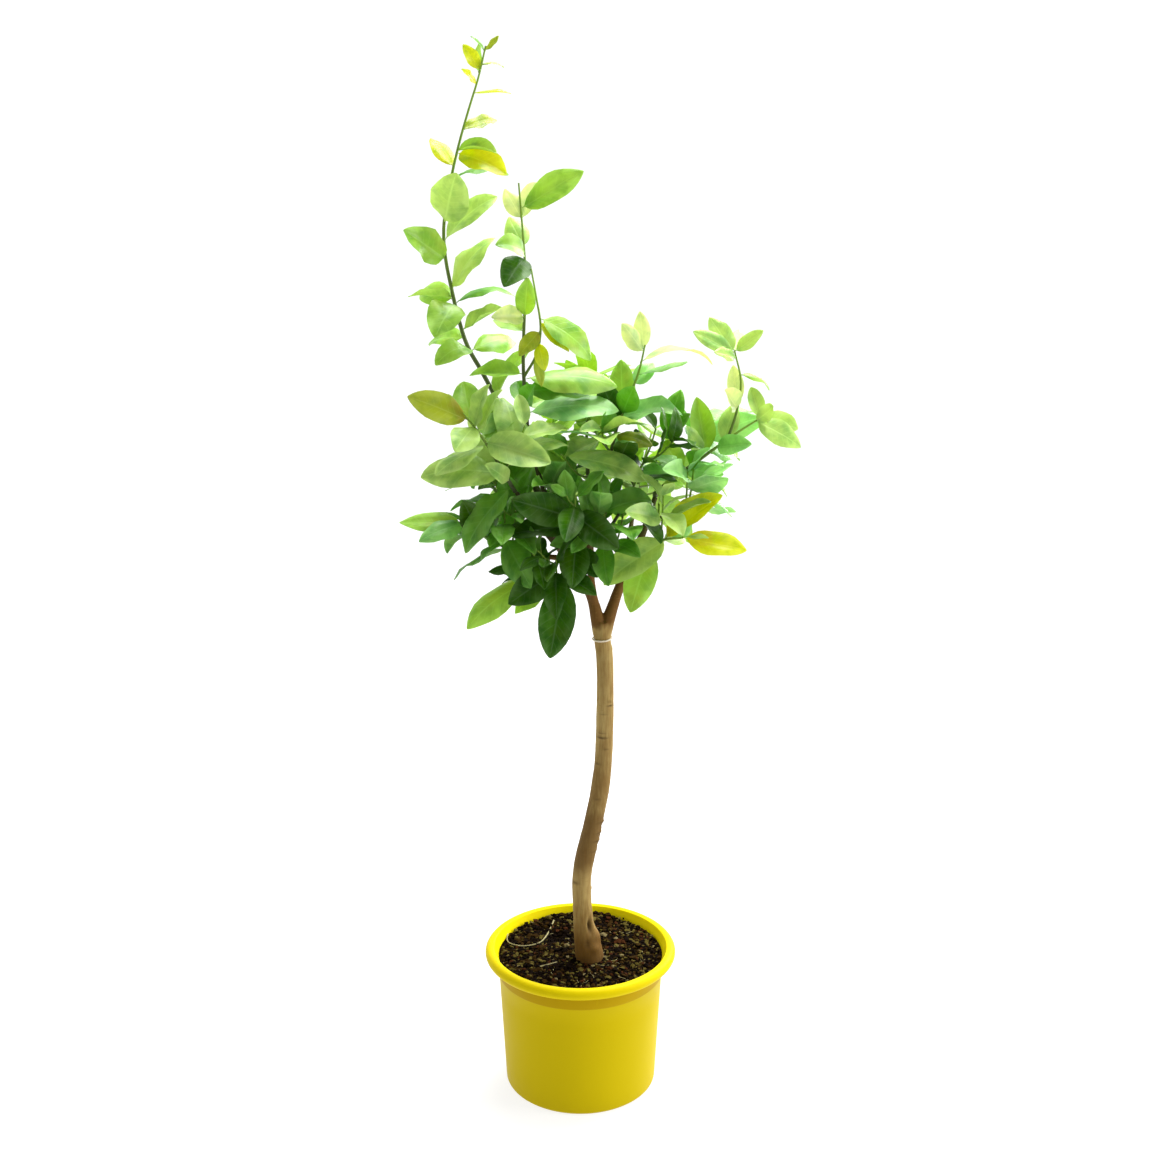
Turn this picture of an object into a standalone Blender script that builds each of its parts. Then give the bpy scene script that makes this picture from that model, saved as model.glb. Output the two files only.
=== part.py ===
"""A young lemon tree in a yellow nursery pot, at its real size. Metres, +Z up.

The origin is the centre of the pot's flat underside. The pot, its soil, the trunk with a loose tie, every
bough and every mass of foliage is a closed solid of its own. Boughs follow short hand-set routes. Each mass
grows from a stem that carries on from its bough's tip: hand-set twigs and seeded sprigs leave the stem, and
leaves leave all of them. The leaves that give the crown its outline are marked by hand, and the rest follow
a seeded spiral. What would touch anything that grew before it is left out.
"""

import math
import random
from dataclasses import dataclass

import bmesh
import bpy
from mathutils import Matrix, Vector
from mathutils.bvhtree import BVHTree

# The gap that touching pieces keep.
GAP = 0.0003

# Pot.
POT_HEIGHT = 0.190
POT_SIDES = 32
RIM_RADIUS = 0.125
RIM_DEPTH = 0.014
RIM_WIDTH = 0.012
NECK_RADIUS = 0.1095
NECK_DEPTH = 0.034
STEP = 0.0012
BASE_RADIUS = 0.1005
BASE_ROUNDING = 0.005
WALL = 0.0025
DRAIN_HOLES = 8
DRAIN_SIDES = 6
DRAIN_RADIUS = 0.006
DRAIN_CIRCLE = 0.070

# Soil.
SOIL_TOP = 0.178
SOIL_RINGS = 5
SOIL_BUMP = 0.0035
SOIL_SEED = 4
LEVEL_ROUND_TRUNK = 0.030

# Trunk: x, y, z and radius, from the flat cut at the soil to the fork.
TRUNK_SIDES = 12
TRUNK = (
    (0.012, -0.012, SOIL_TOP + GAP, 0.0185),
    (0.010, -0.012, 0.192, 0.0175),
    (0.005, -0.012, 0.220, 0.0138),
    (0.002, -0.011, 0.266, 0.0122),
    (0.004, -0.009, 0.306, 0.0124),
    (0.018, -0.005, 0.371, 0.0122),
    (0.029, 0.000, 0.437, 0.0116),
    (0.0315, 0.003, 0.522, 0.0110),
    (0.031, 0.002, 0.581, 0.0108),
    (0.0278, 0.000, 0.610, 0.0106),
    (0.0275, 0.000, 0.632, 0.0112),
)
TIE_HEIGHT = 0.605
TIE_THICKNESS = 0.0009
TIE_SIDES = 16

# Wood.
BOUGH_SIDES = 8
TWIG_SIDES = 3
TWIG_RADIUS = 0.0018
TIP_RADIUS = 0.0010
STATION = 0.034
SMOOTH_STEPS = 4
STEM_BARE = 0.12

# Sprigs, the seeded side twigs of a stem.
SPRIG_LENGTH = 0.070
SPRIG_LEAVES = 5
SPRIG_RADIUS = 0.0013
SPRIG_RISE = (35, 65)
SPRIG_BARE = 0.25

# Leaves.
LEAF_LENGTH = 0.078
LEAF_WIDTH = 0.46
LEAF_THICKNESS = 0.022
LEAF_YOUNG = 0.5
LEAF_OUTLINE = ((0.34, 0.96), (0.72, 0.86))
STALK_RADIUS = 0.00045
SPIRAL = math.radians(137.5)
SPREAD = (4, 8)
CLEARANCE = 0.0007
FREE_OF_TWIG = 0.0042
FREE_OF_OWN_TWIG = 0.012
SWINGS = ((0, 0), (8, 0), (-8, 0), (0, 8), (0, -8), (16, 0), (-16, 0), (0, 14), (0, -14), (24, 0), (-24, 0))
FLATTER = (1.0, 0.3)
TRIES = 10


@dataclass(frozen=True)
class Bough:
    """One tapering limb: its route and its radius at foot and tip."""

    name: str
    route: tuple
    foot: float
    tip: float


@dataclass(frozen=True)
class Twig:
    """A leafy twig, or the stem of a mass.

    It starts at a share of the stem's length and follows a route in metres. Each marked leaf is a row: the
    share of the twig where it leaves, its reach from there to its tip in x, y and z, in millimetres, how far
    its face leans from level towards -Y, and its arch, both in degrees, with its width as a share of its
    length where that isn't the usual one. Past its bare foot a twig has more leaves, by the seeded rule.
    """

    route: tuple
    at: float = 0.0
    marked: tuple = ()
    leaves: int = 0


@dataclass(frozen=True)
class Mass:
    """One mass of foliage: the bough that it grows on from, its stem, its twigs, and its seeded growth."""

    name: str
    bough: str
    stem: Twig
    twigs: tuple = ()
    sprigs: int = 0
    seed: int = 1


BOUGHS = (
    Bough("bough_left",
          ((0.0255, 0.000, 0.616), (0.017, -0.003, 0.656), (0.008, -0.004, 0.679), (-0.004, -0.003, 0.698),
           (-0.023, 0.000, 0.729), (-0.041, 0.004, 0.766), (-0.057, 0.008, 0.805)), 0.0078, 0.0034),
    Bough("bough_right",
          ((0.0295, 0.000, 0.616), (0.045, 0.002, 0.664), (0.053, 0.004, 0.684), (0.066, 0.006, 0.714),
           (0.080, 0.006, 0.750), (0.092, 0.004, 0.788)), 0.0080, 0.0032),
    Bough("bough_centre",
          ((0.018, -0.003, 0.654), (0.015, -0.014, 0.682), (0.011, -0.020, 0.727), (0.012, -0.018, 0.770),
           (0.022, -0.012, 0.806)), 0.0046, 0.0028),
    Bough("bough_left_mid",
          ((-0.023, 0.000, 0.729), (-0.036, -0.016, 0.776), (-0.050, -0.024, 0.826),
           (-0.060, -0.026, 0.868)),
          0.0042, 0.0026),
    Bough("bough_left_front",
          ((-0.004, -0.003, 0.698), (-0.024, -0.030, 0.730), (-0.050, -0.048, 0.768),
           (-0.075, -0.056, 0.806)),
          0.0042, 0.0026),
    Bough("bough_left_side",
          ((-0.014, -0.001, 0.712), (-0.042, -0.010, 0.717), (-0.072, -0.018, 0.723)), 0.0040, 0.0024),
    Bough("bough_left_low",
          ((0.009, -0.004, 0.676), (-0.004, -0.016, 0.686), (-0.016, -0.026, 0.694)), 0.0038, 0.0024),
    Bough("bough_front",
          ((0.002, -0.004, 0.689), (0.000, -0.028, 0.712), (-0.002, -0.044, 0.734)), 0.0038, 0.0026),
    Bough("bough_left_back",
          ((-0.008, -0.002, 0.704), (-0.022, 0.030, 0.726), (-0.040, 0.056, 0.756)), 0.0044, 0.0028),
    Bough("bough_right_low",
          ((0.051, 0.003, 0.679), (0.066, -0.016, 0.708), (0.080, -0.034, 0.731)), 0.0042, 0.0024),
    Bough("bough_right_back",
          ((0.056, 0.004, 0.691), (0.060, 0.032, 0.719), (0.066, 0.058, 0.752)), 0.0044, 0.0028),
    Bough("bough_middle_back",
          ((0.014, -0.004, 0.662), (0.014, 0.022, 0.704), (0.012, 0.038, 0.752), (0.010, 0.044, 0.804)),
          0.0046, 0.0028),
    Bough("bough_inner_left",
          ((-0.034, 0.002, 0.752), (-0.050, -0.006, 0.760), (-0.064, -0.012, 0.768)), 0.0034, 0.0022),
    Bough("bough_inner_front",
          ((0.058, 0.005, 0.696), (0.050, -0.016, 0.714), (0.044, -0.030, 0.728)), 0.0036, 0.0022),
    Bough("bough_inner_right",
          ((0.011, -0.020, 0.734), (0.024, -0.026, 0.748), (0.036, -0.030, 0.760)), 0.0032, 0.0022),
    Bough("bough_right_mid",
          ((0.082, 0.006, 0.756), (0.096, -0.008, 0.764), (0.108, -0.016, 0.770)), 0.0034, 0.0022),
)

MASSES = (
    Mass("tall_shoot", "bough_left", Twig(
        ((-0.079, 0.010, 0.857), (-0.090, 0.012, 0.881), (-0.108, 0.014, 0.923), (-0.129, 0.014, 0.959),
         (-0.142, 0.012, 0.994), (-0.157, 0.006, 1.071), (-0.158, 0.003, 1.111), (-0.148, 0.000, 1.164),
         (-0.132, -0.004, 1.221), (-0.115, -0.008, 1.270), (-0.105, -0.010, 1.307)),
        marked=((0.33, -39, -45, -12, 50, 110), (0.33, 54, 45, 7, 38, 70), (0.36, -49, 50, -10, 42, 60),
                (0.38, 49, -30, 30, 38, 30), (0.44, -20, -55, -34, 70, 60, 0.6), (0.44, 73, 15, 13, 5, 80),
                (0.45, -48, 45, 8, 60, 50), (0.47, 51, 10, 64, 26, 70), (0.54, -42, -45, 36, 70, 30, 0.55),
                (0.58, 62, 15, 51, 22, 50), (0.62, 19, -45, 55, 75, 30, 0.6), (0.71, 69, 10, 10, 3, 75),
                (0.74, -28, 30, 36, 26, 30), (0.77, 60, -25, -23, 60, 55), (0.82, 39, 25, 14, 38, 40),
                (0.90, 43, 5, 2, 8, 30), (0.92, -15, -18, 15, 50, 30), (0.95, -18, -8, 27, 70, 20, 0.5),
                (0.96, 26, 6, -1, 25, 60, 0.3), (0.99, -15, 0, 16, 20, 20, 0.3),
                (0.99, 16, 0, 16, 40, 10, 0.4)),
        leaves=4), seed=42),
    Mass("mid_shoot", "bough_left_mid", Twig(
        ((-0.063, -0.026, 0.899), (-0.066, -0.026, 0.957), (-0.062, -0.026, 1.052), (-0.064, -0.026, 1.090),
         (-0.069, -0.026, 1.158)),
        marked=((0.09, 110, -4, 5, 26, 45, 0.4), (0.12, -13, 45, 27, 70, 10), (0.12, 36, 45, 16, 60, 20),
                (0.13, 10, -45, 27, 70, 10), (0.18, 76, 15, -5, 38, 50), (0.23, 112, 8, -8, 30, 45, 0.38),
                (0.25, -67, 25, -3, 36, 40), (0.42, -37, 45, 14, 50, 30), (0.48, -35, -35, 3, 70, 20, 0.53),
                (0.48, 5, -30, 45, 65, 20), (0.71, -20, -42, -36, 80, 50, 0.6),
                (0.73, -31, -35, 12, 60, 80, 0.6), (0.75, -19, 35, 35, 70, 20, 0.5),
                (0.86, -20, 15, 35, 60, 40, 0.5), (0.86, 18, 25, 43, 42, 20), (0.90, 72, -8, 43, 60, 30))),
         twigs=(Twig(
             ((-0.051, -0.036, 0.963), (-0.044, -0.040, 0.983), (-0.048, -0.042, 1.021),
              (-0.055, -0.044, 1.063)),
             at=0.24,
             marked=((0.25, 6, -6, -37, 35, 30, 0.35), (0.36, 8, -14, -32, 75, 40, 0.5),
                     (0.46, -25, -12, -27, 70, 20, 0.5), (0.54, 34, -12, -33, 45, 30, 0.4),
                     (0.57, 61, 6, -49, 42, 70, 0.42))),), seed=1),
    Mass("left_shoot", "bough_left_front", Twig(
        ((-0.104, -0.062, 0.857), (-0.124, -0.066, 0.888), (-0.143, -0.068, 0.910)),
        marked=((0.06, -59, -14, -78, 26, 50, 0.38), (0.12, -25, -30, 26, 65, 40),
                (0.20, -101, -10, -1, 42, 60), (0.56, 79, -30, -19, 70, 60), (0.58, 39, 35, 36, 34, 20),
                (0.61, 18, 40, 43, 42, 20), (0.68, 27, -20, 53, 34, 20), (0.74, -18, -45, -22, 70, 50, 0.6),
                (0.77, -12, 40, 46, 60, 40, 0.55), (0.81, -69, -15, 30, 62, 45)),
        leaves=4), sprigs=2, seed=6),
    Mass("low_left_spray", "bough_left_side", Twig(
        ((-0.111, -0.030, 0.745), (-0.140, -0.036, 0.765)),
        marked=((0.72, -11, -35, 45, 65, 30, 0.5), (0.96, -53, -35, -13, 42, 50),
                (1.0, -78, 10, -1, 36, 80)),
        leaves=4), sprigs=3, seed=42),
    Mass("low_front_spray", "bough_left_low", Twig(
        ((-0.036, -0.038, 0.700), (-0.056, -0.048, 0.707)),
        marked=((0.08, -18, -15, -101, 80, 40), (0.44, -46, -20, -42, 24, 30),
                (0.69, -95, -14, -65, 20, 50, 0.38), (0.87, -57, 12, -62, 22, 30, 0.38),
                (0.91, -45, -12, -31, 70, 50)),
        leaves=2), sprigs=2, seed=43),
    Mass("front_spray", "bough_front", Twig(
        ((-0.005, -0.058, 0.760), (-0.008, -0.068, 0.785), (-0.004, -0.074, 0.806)),
        marked=((0.10, 24, -35, -32, 70, 30, 0.5), (0.25, -4, -40, -53, 80, 30, 0.55),
                (0.44, -87, -14, -7, 36, 40), (0.61, -73, -20, 25, 75, 40, 0.55),
                (0.67, 52, -35, -34, 75, 40, 0.55), (0.82, -11, -50, -33, 75, 40, 0.55),
                (0.82, 72, -10, -48, 38, 40)),
        leaves=3), sprigs=3, seed=6),
    Mass("upper_shoot", "bough_centre", Twig(
        ((0.032, -0.010, 0.824), (0.044, -0.004, 0.873), (0.060, 0.000, 0.913), (0.073, 0.004, 0.947),
         (0.078, 0.006, 0.972)),
        marked=((0.28, 38, 40, -2, 42, 50), (0.36, 44, -30, -9, 38, 60), (0.38, -13, -35, 33, 70, 20, 0.55),
                (0.45, -22, -15, 52, 70, 20), (0.47, 77, -10, 10, 34, 60), (0.51, 12, -40, 37, 70, 20, 0.5),
                (0.53, -3, 20, 61, 70, 10), (0.72, 17, 30, 25, 65, 20, 0.5), (0.79, 61, 14, 15, 5, 20, 0.3),
                (0.88, 90, 10, 1, 8, 80, 0.32), (0.95, -26, -12, 35, 52, 20), (0.97, -5, 12, 44, 60, 20)),
        leaves=3), twigs=(Twig(
            ((0.004, -0.030, 0.818), (-0.022, -0.044, 0.849)), at=0.06,
            marked=((0.80, -73, -10, 4, 32, 40), (0.90, -16, 35, 25, 50, 40),
                    (0.95, 100, -10, -28, 28, 50, 0.4)),
            leaves=3),), sprigs=3, seed=39),
    Mass("right_shoot", "bough_right", Twig(
        ((0.113, 0.000, 0.811), (0.172, -0.008, 0.857), (0.198, -0.012, 0.876), (0.221, -0.016, 0.891)),
        marked=((0.27, -58, -8, 2, 40, 40), (0.29, -26, 30, 34, 65, 30), (0.30, 45, -25, -1, 60, 50),
                (0.34, 10, -35, 25, 60, 20, 0.5), (0.46, -24, -25, 37, 50, 20), (0.50, -13, 10, 68, 50, 30),
                (0.58, 39, -35, 10, 70, 50, 0.5), (0.64, 15, 20, 46, 70, 20), (0.92, 54, -15, -29, 55, 40),
                (0.96, -10, 20, 35, 65, 10, 0.5), (0.99, 44, 15, -18, 70, 50, 0.5)),
        leaves=3),
         twigs=(Twig(((0.093, 0.008, 0.835), (0.103, 0.010, 0.864)), at=0.05,
                     marked=((0.92, 29, -25, 35, 60, 40), (0.96, 20, 15, 57, 65, 30)), leaves=3),
                Twig(((0.191, -0.006, 0.908), (0.191, -0.004, 0.943), (0.184, -0.004, 0.965)), at=0.68,
                     marked=((0.36, -18, -35, 27, 65, 20, 0.55), (0.40, -5, 15, 46, 58, 10),
                             (0.73, 41, 20, -19, 22, 80, 0.36), (0.93, -28, -28, 10, 60, 40),
                             (0.98, -51, -10, 27, 48, 30), (1.0, -34, 12, 39, 60, 20),
                             (1.0, 6, 28, 29, 70, 10, 0.5), (1.0, 32, -10, 26, 55, 20)))),
         sprigs=2, seed=28),
    Mass("low_right_spray", "bough_right_low", Twig(
        ((0.096, -0.042, 0.745), (0.110, -0.046, 0.746), (0.123, -0.050, 0.749)),
        marked=((0.20, -26, -20, -80, 50, 40), (0.55, 68, 5, 56, 30, 30), (0.64, -80, -25, -49, 50, 45),
                (0.73, 24, 30, 23, 60, 20, 0.55), (1.0, 77, -10, -12, 52, 30)),
        leaves=2), sprigs=2, seed=5),
    Mass("inner_left_spray", "bough_inner_left", Twig(
        ((-0.090, -0.018, 0.792), (-0.112, -0.020, 0.826)), leaves=6), sprigs=4, seed=69),
    Mass("inner_front_spray", "bough_inner_front", Twig(
        ((0.034, -0.044, 0.752), (0.028, -0.052, 0.792)), leaves=6), sprigs=4, seed=9),
    Mass("inner_right_spray", "bough_inner_right", Twig(
        ((0.058, -0.034, 0.794), (0.076, -0.036, 0.840)), leaves=6), sprigs=4, seed=8),
    Mass("right_mid_spray", "bough_right_mid", Twig(
        ((0.128, -0.026, 0.784), (0.152, -0.032, 0.800)), leaves=4), sprigs=2, seed=7),
    Mass("back_left_spray", "bough_left_back", Twig(
        ((-0.058, 0.080, 0.799), (-0.082, 0.100, 0.854)), leaves=8), sprigs=5, seed=28),
    Mass("back_right_spray", "bough_right_back", Twig(
        ((0.076, 0.084, 0.799), (0.092, 0.104, 0.856)), leaves=8), sprigs=5, seed=6),
    Mass("back_spray", "bough_middle_back", Twig(
        ((0.008, 0.056, 0.854), (0.016, 0.062, 0.909)), leaves=8), sprigs=5, seed=29),
)


def smooth_route(points: list, steps: int = SMOOTH_STEPS) -> list:
    """Points along a smooth curve through a route's own points."""
    ends = [points[0] * 2 - points[1], *points, points[-1] * 2 - points[-2]]
    found = []
    for a, b, c, d in zip(ends, ends[1:], ends[2:], ends[3:]):
        for i in range(steps):
            t = i / steps
            found.append(0.5 * (2 * b + (c - a) * t + (2 * a - 5 * b + 4 * c - d) * t**2
                                + (3 * b - a - 3 * c + d) * t**3))
    return [*found, points[-1].copy()]


def measured(path: list) -> list:
    """Each point's distance along the path, as a share of its whole length."""
    run = [0.0]
    for a, b in zip(path, path[1:]):
        run.append(run[-1] + (b - a).length)
    return [r / run[-1] for r in run]


def point_at(path: list, share: float) -> Vector:
    """The place at a share of a path's length."""
    run = measured(path)
    for a, b, low, high in zip(path, path[1:], run, run[1:]):
        if share <= high:
            return a.lerp(b, (share - low) / (high - low))
    return path[-1].copy()


def direction_at(path: list, share: float) -> Vector:
    """The path's unit direction at a share of its length."""
    step = 0.01
    return (point_at(path, min(1, share + step)) - point_at(path, max(0, share - step))).normalized()


def evened(path: list, station: float = STATION) -> list:
    """The same path with its points a station apart."""
    length = sum((b - a).length for a, b in zip(path, path[1:]))
    count = max(2, round(length / station))
    return [point_at(path, i / count) for i in range(count + 1)]


def tube(path: list, radii: list, sides: int) -> tuple:
    """Vertices and faces of a closed round limb along a path, with flat ends square to it."""
    verts, faces = [], []
    heading = (path[1] - path[0]).normalized()
    side = heading.orthogonal().normalized()
    for i, (point, radius) in enumerate(zip(path, radii)):
        ahead = path[min(i + 1, len(path) - 1)] - path[max(i - 1, 0)]
        side = heading.rotation_difference(ahead) @ side
        heading = ahead.normalized()
        other = heading.cross(side)
        for k in range(sides):
            a = math.tau * k / sides
            verts.append(point + radius * (math.cos(a) * side + math.sin(a) * other))
    for i in range(len(path) - 1):
        for k in range(sides):
            a, b = i * sides + k, i * sides + (k + 1) % sides
            faces.append((a, b, b + sides, a + sides))
    faces.append(tuple(reversed(range(sides))))
    faces.append(tuple(range(len(verts) - sides, len(verts))))
    return verts, faces


def taper(path: list, foot: float, tip: float, extra: float = 0.0) -> list:
    """Radii that fall evenly from foot to tip, fattened by extra."""
    return [foot + (tip - foot) * share + extra for share in measured(path)]


@dataclass(frozen=True)
class Leaf:
    """One leaf: its root on the twig, its reach to the tip, its upper face, its width and its arch."""

    root: Vector
    reach: Vector
    face: Vector
    width: float
    arch: float

    def run(self) -> float:
        """The length along the midrib."""
        return self.reach.length * self.arch / (2 * math.sin(self.arch / 2))

    def spine(self, share: float) -> tuple:
        """The midrib's place, heading and upper-face direction at a share of its run from the root."""
        ahead = self.reach.normalized()
        radius = self.reach.length / (2 * math.sin(self.arch / 2))
        turn = self.arch * (share - 0.5)
        lift = radius * (math.cos(turn) - math.cos(self.arch / 2))
        place = self.root + self.reach / 2 + radius * math.sin(turn) * ahead + lift * self.face
        return (place, math.cos(turn) * ahead - math.sin(turn) * self.face,
                math.cos(turn) * self.face + math.sin(turn) * ahead)

    def solid(self, extra: float = 0.0, start: float = 0.0) -> tuple:
        """Vertices and faces of the leaf as a keeled blade, fattened by extra and from a start for a test."""
        rings = [(start / self.run(), STALK_RADIUS, STALK_RADIUS)]
        for share, width in LEAF_OUTLINE:
            rings.append((share, width * self.width / 2, LEAF_THICKNESS * self.reach.length / 2))
        verts, faces = [], []
        for i, (share, half, deep) in enumerate(rings):
            place, heading, face = self.spine(share)
            side = heading.cross(face)
            top = place + (deep + extra) * face
            verts += [top - (half + extra) * side, top + (half + extra) * side, place - (deep + extra) * face]
            if i:
                a = 3 * (i - 1)
                faces += [(a + k, a + (k + 1) % 3, a + 3 + (k + 1) % 3, a + 3 + k) for k in range(3)]
        last = len(verts) - 3
        place, heading, face = self.spine(1.0)
        verts.append(place + extra * heading)
        faces += [(last + k, last + (k + 1) % 3, last + 3) for k in range(3)]
        faces.append((2, 1, 0))
        return verts, faces


def facing(reach: Vector, light: Vector) -> Vector:
    """The upper face's direction for a leaf that turns as much as it can to the light."""
    ahead = reach.normalized()
    face = light - light.dot(ahead) * ahead
    if face.length < 0.15:
        face = face + ahead.cross(Vector((1, 0, 0)))
        face = face - face.dot(ahead) * ahead
    return face.normalized()


def marked_leaf(path: list, row: tuple, swing: float, tilt: float, flatter: float) -> Leaf:
    """A marked leaf, swung by some degrees round the vertical, tilted by some and flatter, to find room."""
    at, x, y, z, lean, arch, *rest = row
    reach = Matrix.Rotation(math.radians(swing), 3, "Z") @ Vector((x, y, z)) / 1000
    reach = Matrix.Rotation(math.radians(tilt), 3, reach.cross(Vector((0, 0, 1)))) @ reach
    light = Vector((0, -math.sin(math.radians(lean)), math.cos(math.radians(lean))))
    width = (rest or [LEAF_WIDTH])[0] * reach.length
    return Leaf(point_at(path, at), reach, facing(reach, light), width, math.radians(arch) * flatter)


def spiral_leaf(dice: random.Random, path: list, share: float, turn: float) -> Leaf:
    """A leaf at a share of a twig, at an angle round it. Young leaves near the tip are smaller."""
    along = direction_at(path, share)
    out = Matrix.Rotation(turn, 3, along) @ along.orthogonal().normalized()
    rise = math.radians(dice.uniform(40, 85)) * (1 - 0.4 * share**4)
    length = LEAF_LENGTH * dice.uniform(0.75, 1.15) * (1 - (1 - LEAF_YOUNG) * share**3)
    heading = math.cos(rise) * along + math.sin(rise) * out + Vector((0, 0, dice.uniform(-0.35, 0.1)))
    reach = heading.normalized() * length
    root = point_at(path, share)
    light = Vector((root.x * SPREAD[0], root.y * SPREAD[1], 1)) + 0.3 * along
    face = Matrix.Rotation(math.radians(dice.uniform(-35, 35)), 3, reach) @ facing(reach, light)
    width = LEAF_WIDTH * length * dice.uniform(0.9, 1.12)
    return Leaf(root, reach, face, width, math.radians(dice.uniform(20, 80)))


class Space:
    """What has grown so far, and whether a new piece has room."""

    def __init__(self) -> None:
        self.taken = []

    def add(self, piece: tuple, owner: str = "") -> None:
        """Takes the room of a piece, given as its vertices and faces."""
        self.taken.append((*box_of(piece[0]), BVHTree.FromPolygons(*piece), owner))

    def free(self, piece: tuple, spared: str | None = None) -> bool:
        """Whether a piece touches nothing but what the spared owner has taken."""
        low, high = box_of(piece[0])
        tree = BVHTree.FromPolygons(*piece)
        for other_low, other_high, other, owner in self.taken:
            near = all(low[i] <= other_high[i] and other_low[i] <= high[i] for i in range(3))
            if near and owner != spared and tree.overlap(other):
                return False
        return True


def box_of(verts: list) -> tuple:
    """The lowest and highest corners of the box round some vertices."""
    low = Vector(min(v[i] for v in verts) for i in range(3))
    high = Vector(max(v[i] for v in verts) for i in range(3))
    return low, high


class Growth:
    """The crown as it grows: the paths and leaves of each mass."""

    def __init__(self) -> None:
        self.limbs = limb_paths()
        self.space = Space()
        self.wood = {}
        self.leaves = {}
        self.space.add(tube(self.limbs["trunk"], trunk_radii(CLEARANCE), BOUGH_SIDES))
        for bough in BOUGHS:
            path = self.limbs[bough.name]
            self.space.add(tube(path, taper(path, bough.foot, bough.tip, CLEARANCE), BOUGH_SIDES))

    def grow(self) -> None:
        """Grows the wood and marked leaves of every mass, and then the seeded growth of each."""
        for mass in MASSES:
            self.grow_wood(mass)
        for mass in MASSES:
            self.grow_marked(mass)
        for mass in MASSES:
            self.grow_seeded(mass, mass.seed)

    def add_wood(self, mass: Mass, path: list, foot: float, tip: float) -> None:
        """Keeps a stem or a twig of a mass."""
        self.space.add(tube(path, taper(path, foot, tip, CLEARANCE), TWIG_SIDES), mass.name)
        self.wood[mass.name].append((path, foot, tip))

    def grow_wood(self, mass: Mass) -> None:
        """The stem, which carries on from its bough's tip, and the hand-set twigs."""
        self.wood[mass.name], self.leaves[mass.name] = [], []
        bough = self.limbs[mass.bough]
        heading = (bough[-1] - bough[-2]).normalized()
        start = bough[-1] + heading * GAP
        turned = start + heading * 4 * TWIG_RADIUS
        route = evened(smooth_route([turned, *(Vector(p) for p in mass.stem.route)]))
        stem = [start, *route]
        foot = next(b.tip for b in BOUGHS if b.name == mass.bough)
        self.add_wood(mass, stem, foot, TIP_RADIUS)
        for twig in mass.twigs:
            points = [point_at(stem, twig.at), *(Vector(p) for p in twig.route)]
            self.add_wood(mass, evened(smooth_route(points)), TWIG_RADIUS, TIP_RADIUS)

    def grow_marked(self, mass: Mass) -> None:
        """The hand-set leaves, each swung a little where it has no room."""
        for twig, (path, *_) in zip((mass.stem, *mass.twigs), self.wood[mass.name]):
            for row in twig.marked:
                tries = (marked_leaf(path, row, *swing, flatter) for swing in SWINGS for flatter in FLATTER)
                self.add_first_free(mass, tries)

    def grow_seeded(self, mass: Mass, seed: int) -> None:
        """The sprigs, and a spiral of leaves on them, on the stem and on the hand-set twigs."""
        dice = random.Random(seed)
        stem = self.wood[mass.name][0][0]
        self.spiral(mass, dice, stem, mass.stem.leaves, STEM_BARE)
        for twig, (path, *_) in zip(mass.twigs, self.wood[mass.name][1:]):
            self.spiral(mass, dice, path, twig.leaves, STEM_BARE)
        for i in range(mass.sprigs * TRIES):
            share = (i / TRIES + dice.uniform(0.3, 0.9)) / (mass.sprigs + 0.5)
            path = sprig_path(dice, stem, share, dice.uniform(0, math.tau))
            guard = tube(path[1:], taper(path[1:], SPRIG_RADIUS, TIP_RADIUS, CLEARANCE), TWIG_SIDES)
            if self.space.free(guard):
                self.add_wood(mass, path, SPRIG_RADIUS, TIP_RADIUS)
                self.spiral(mass, dice, path, SPRIG_LEAVES, SPRIG_BARE)
            if len(self.wood[mass.name]) > len(mass.twigs) + mass.sprigs:
                break

    def spiral(self, mass: Mass, dice: random.Random, path: list, leaves: int, bare: float) -> None:
        """A seeded spiral of leaves from the end of a twig's bare foot to its tip."""
        turn = dice.uniform(0, math.tau)
        for i in range(leaves):
            share = bare + (1 - bare) * min(1.0, (i + dice.uniform(0.4, 1.0)) / leaves)
            turn += SPIRAL
            tries = (spiral_leaf(dice, path, share, turn + math.radians(dice.uniform(-60, 60)))
                     for _ in range(TRIES))
            self.add_first_free(mass, tries)

    def add_first_free(self, mass: Mass, tries) -> None:
        """Gives a mass the first of some leaves that has room."""
        for leaf in tries:
            guard = leaf.solid(CLEARANCE, FREE_OF_TWIG)
            blade = leaf.solid(CLEARANCE, FREE_OF_OWN_TWIG)
            if self.space.free(guard, mass.name) and self.space.free(blade):
                self.space.add(guard)
                self.leaves[mass.name].append(leaf)
                break


def limb_paths() -> dict:
    """The trunk's and every bough's smooth path by name."""
    paths = {"trunk": smooth_route([Vector(p[:3]) for p in TRUNK], 2)}
    for bough in BOUGHS:
        paths[bough.name] = smooth_route([Vector(p) for p in bough.route], 2)
    return paths


def trunk_radii(extra: float = 0.0) -> list:
    """The trunk's radii at the points of its smooth path."""
    return [v.x + extra for v in smooth_route([Vector((p[3], 0, 0)) for p in TRUNK], 2)]


def sprig_path(dice: random.Random, stem: list, share: float, turn: float) -> list:
    """A sprig's path: it leaves the stem at an angle and bends upwards."""
    along = direction_at(stem, share)
    out = Matrix.Rotation(turn, 3, along) @ along.orthogonal().normalized()
    rise = math.radians(dice.uniform(*SPRIG_RISE))
    heading = math.cos(rise) * along + math.sin(rise) * out
    length = SPRIG_LENGTH * dice.uniform(0.75, 1.25) * (1 - 0.35 * share)
    start = point_at(stem, share)
    middle = start + heading * length * 0.5
    end = middle + (heading + Vector((0, 0, 0.45))).normalized() * length * 0.5
    return [start, start + heading * FREE_OF_TWIG, middle, end]


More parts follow.
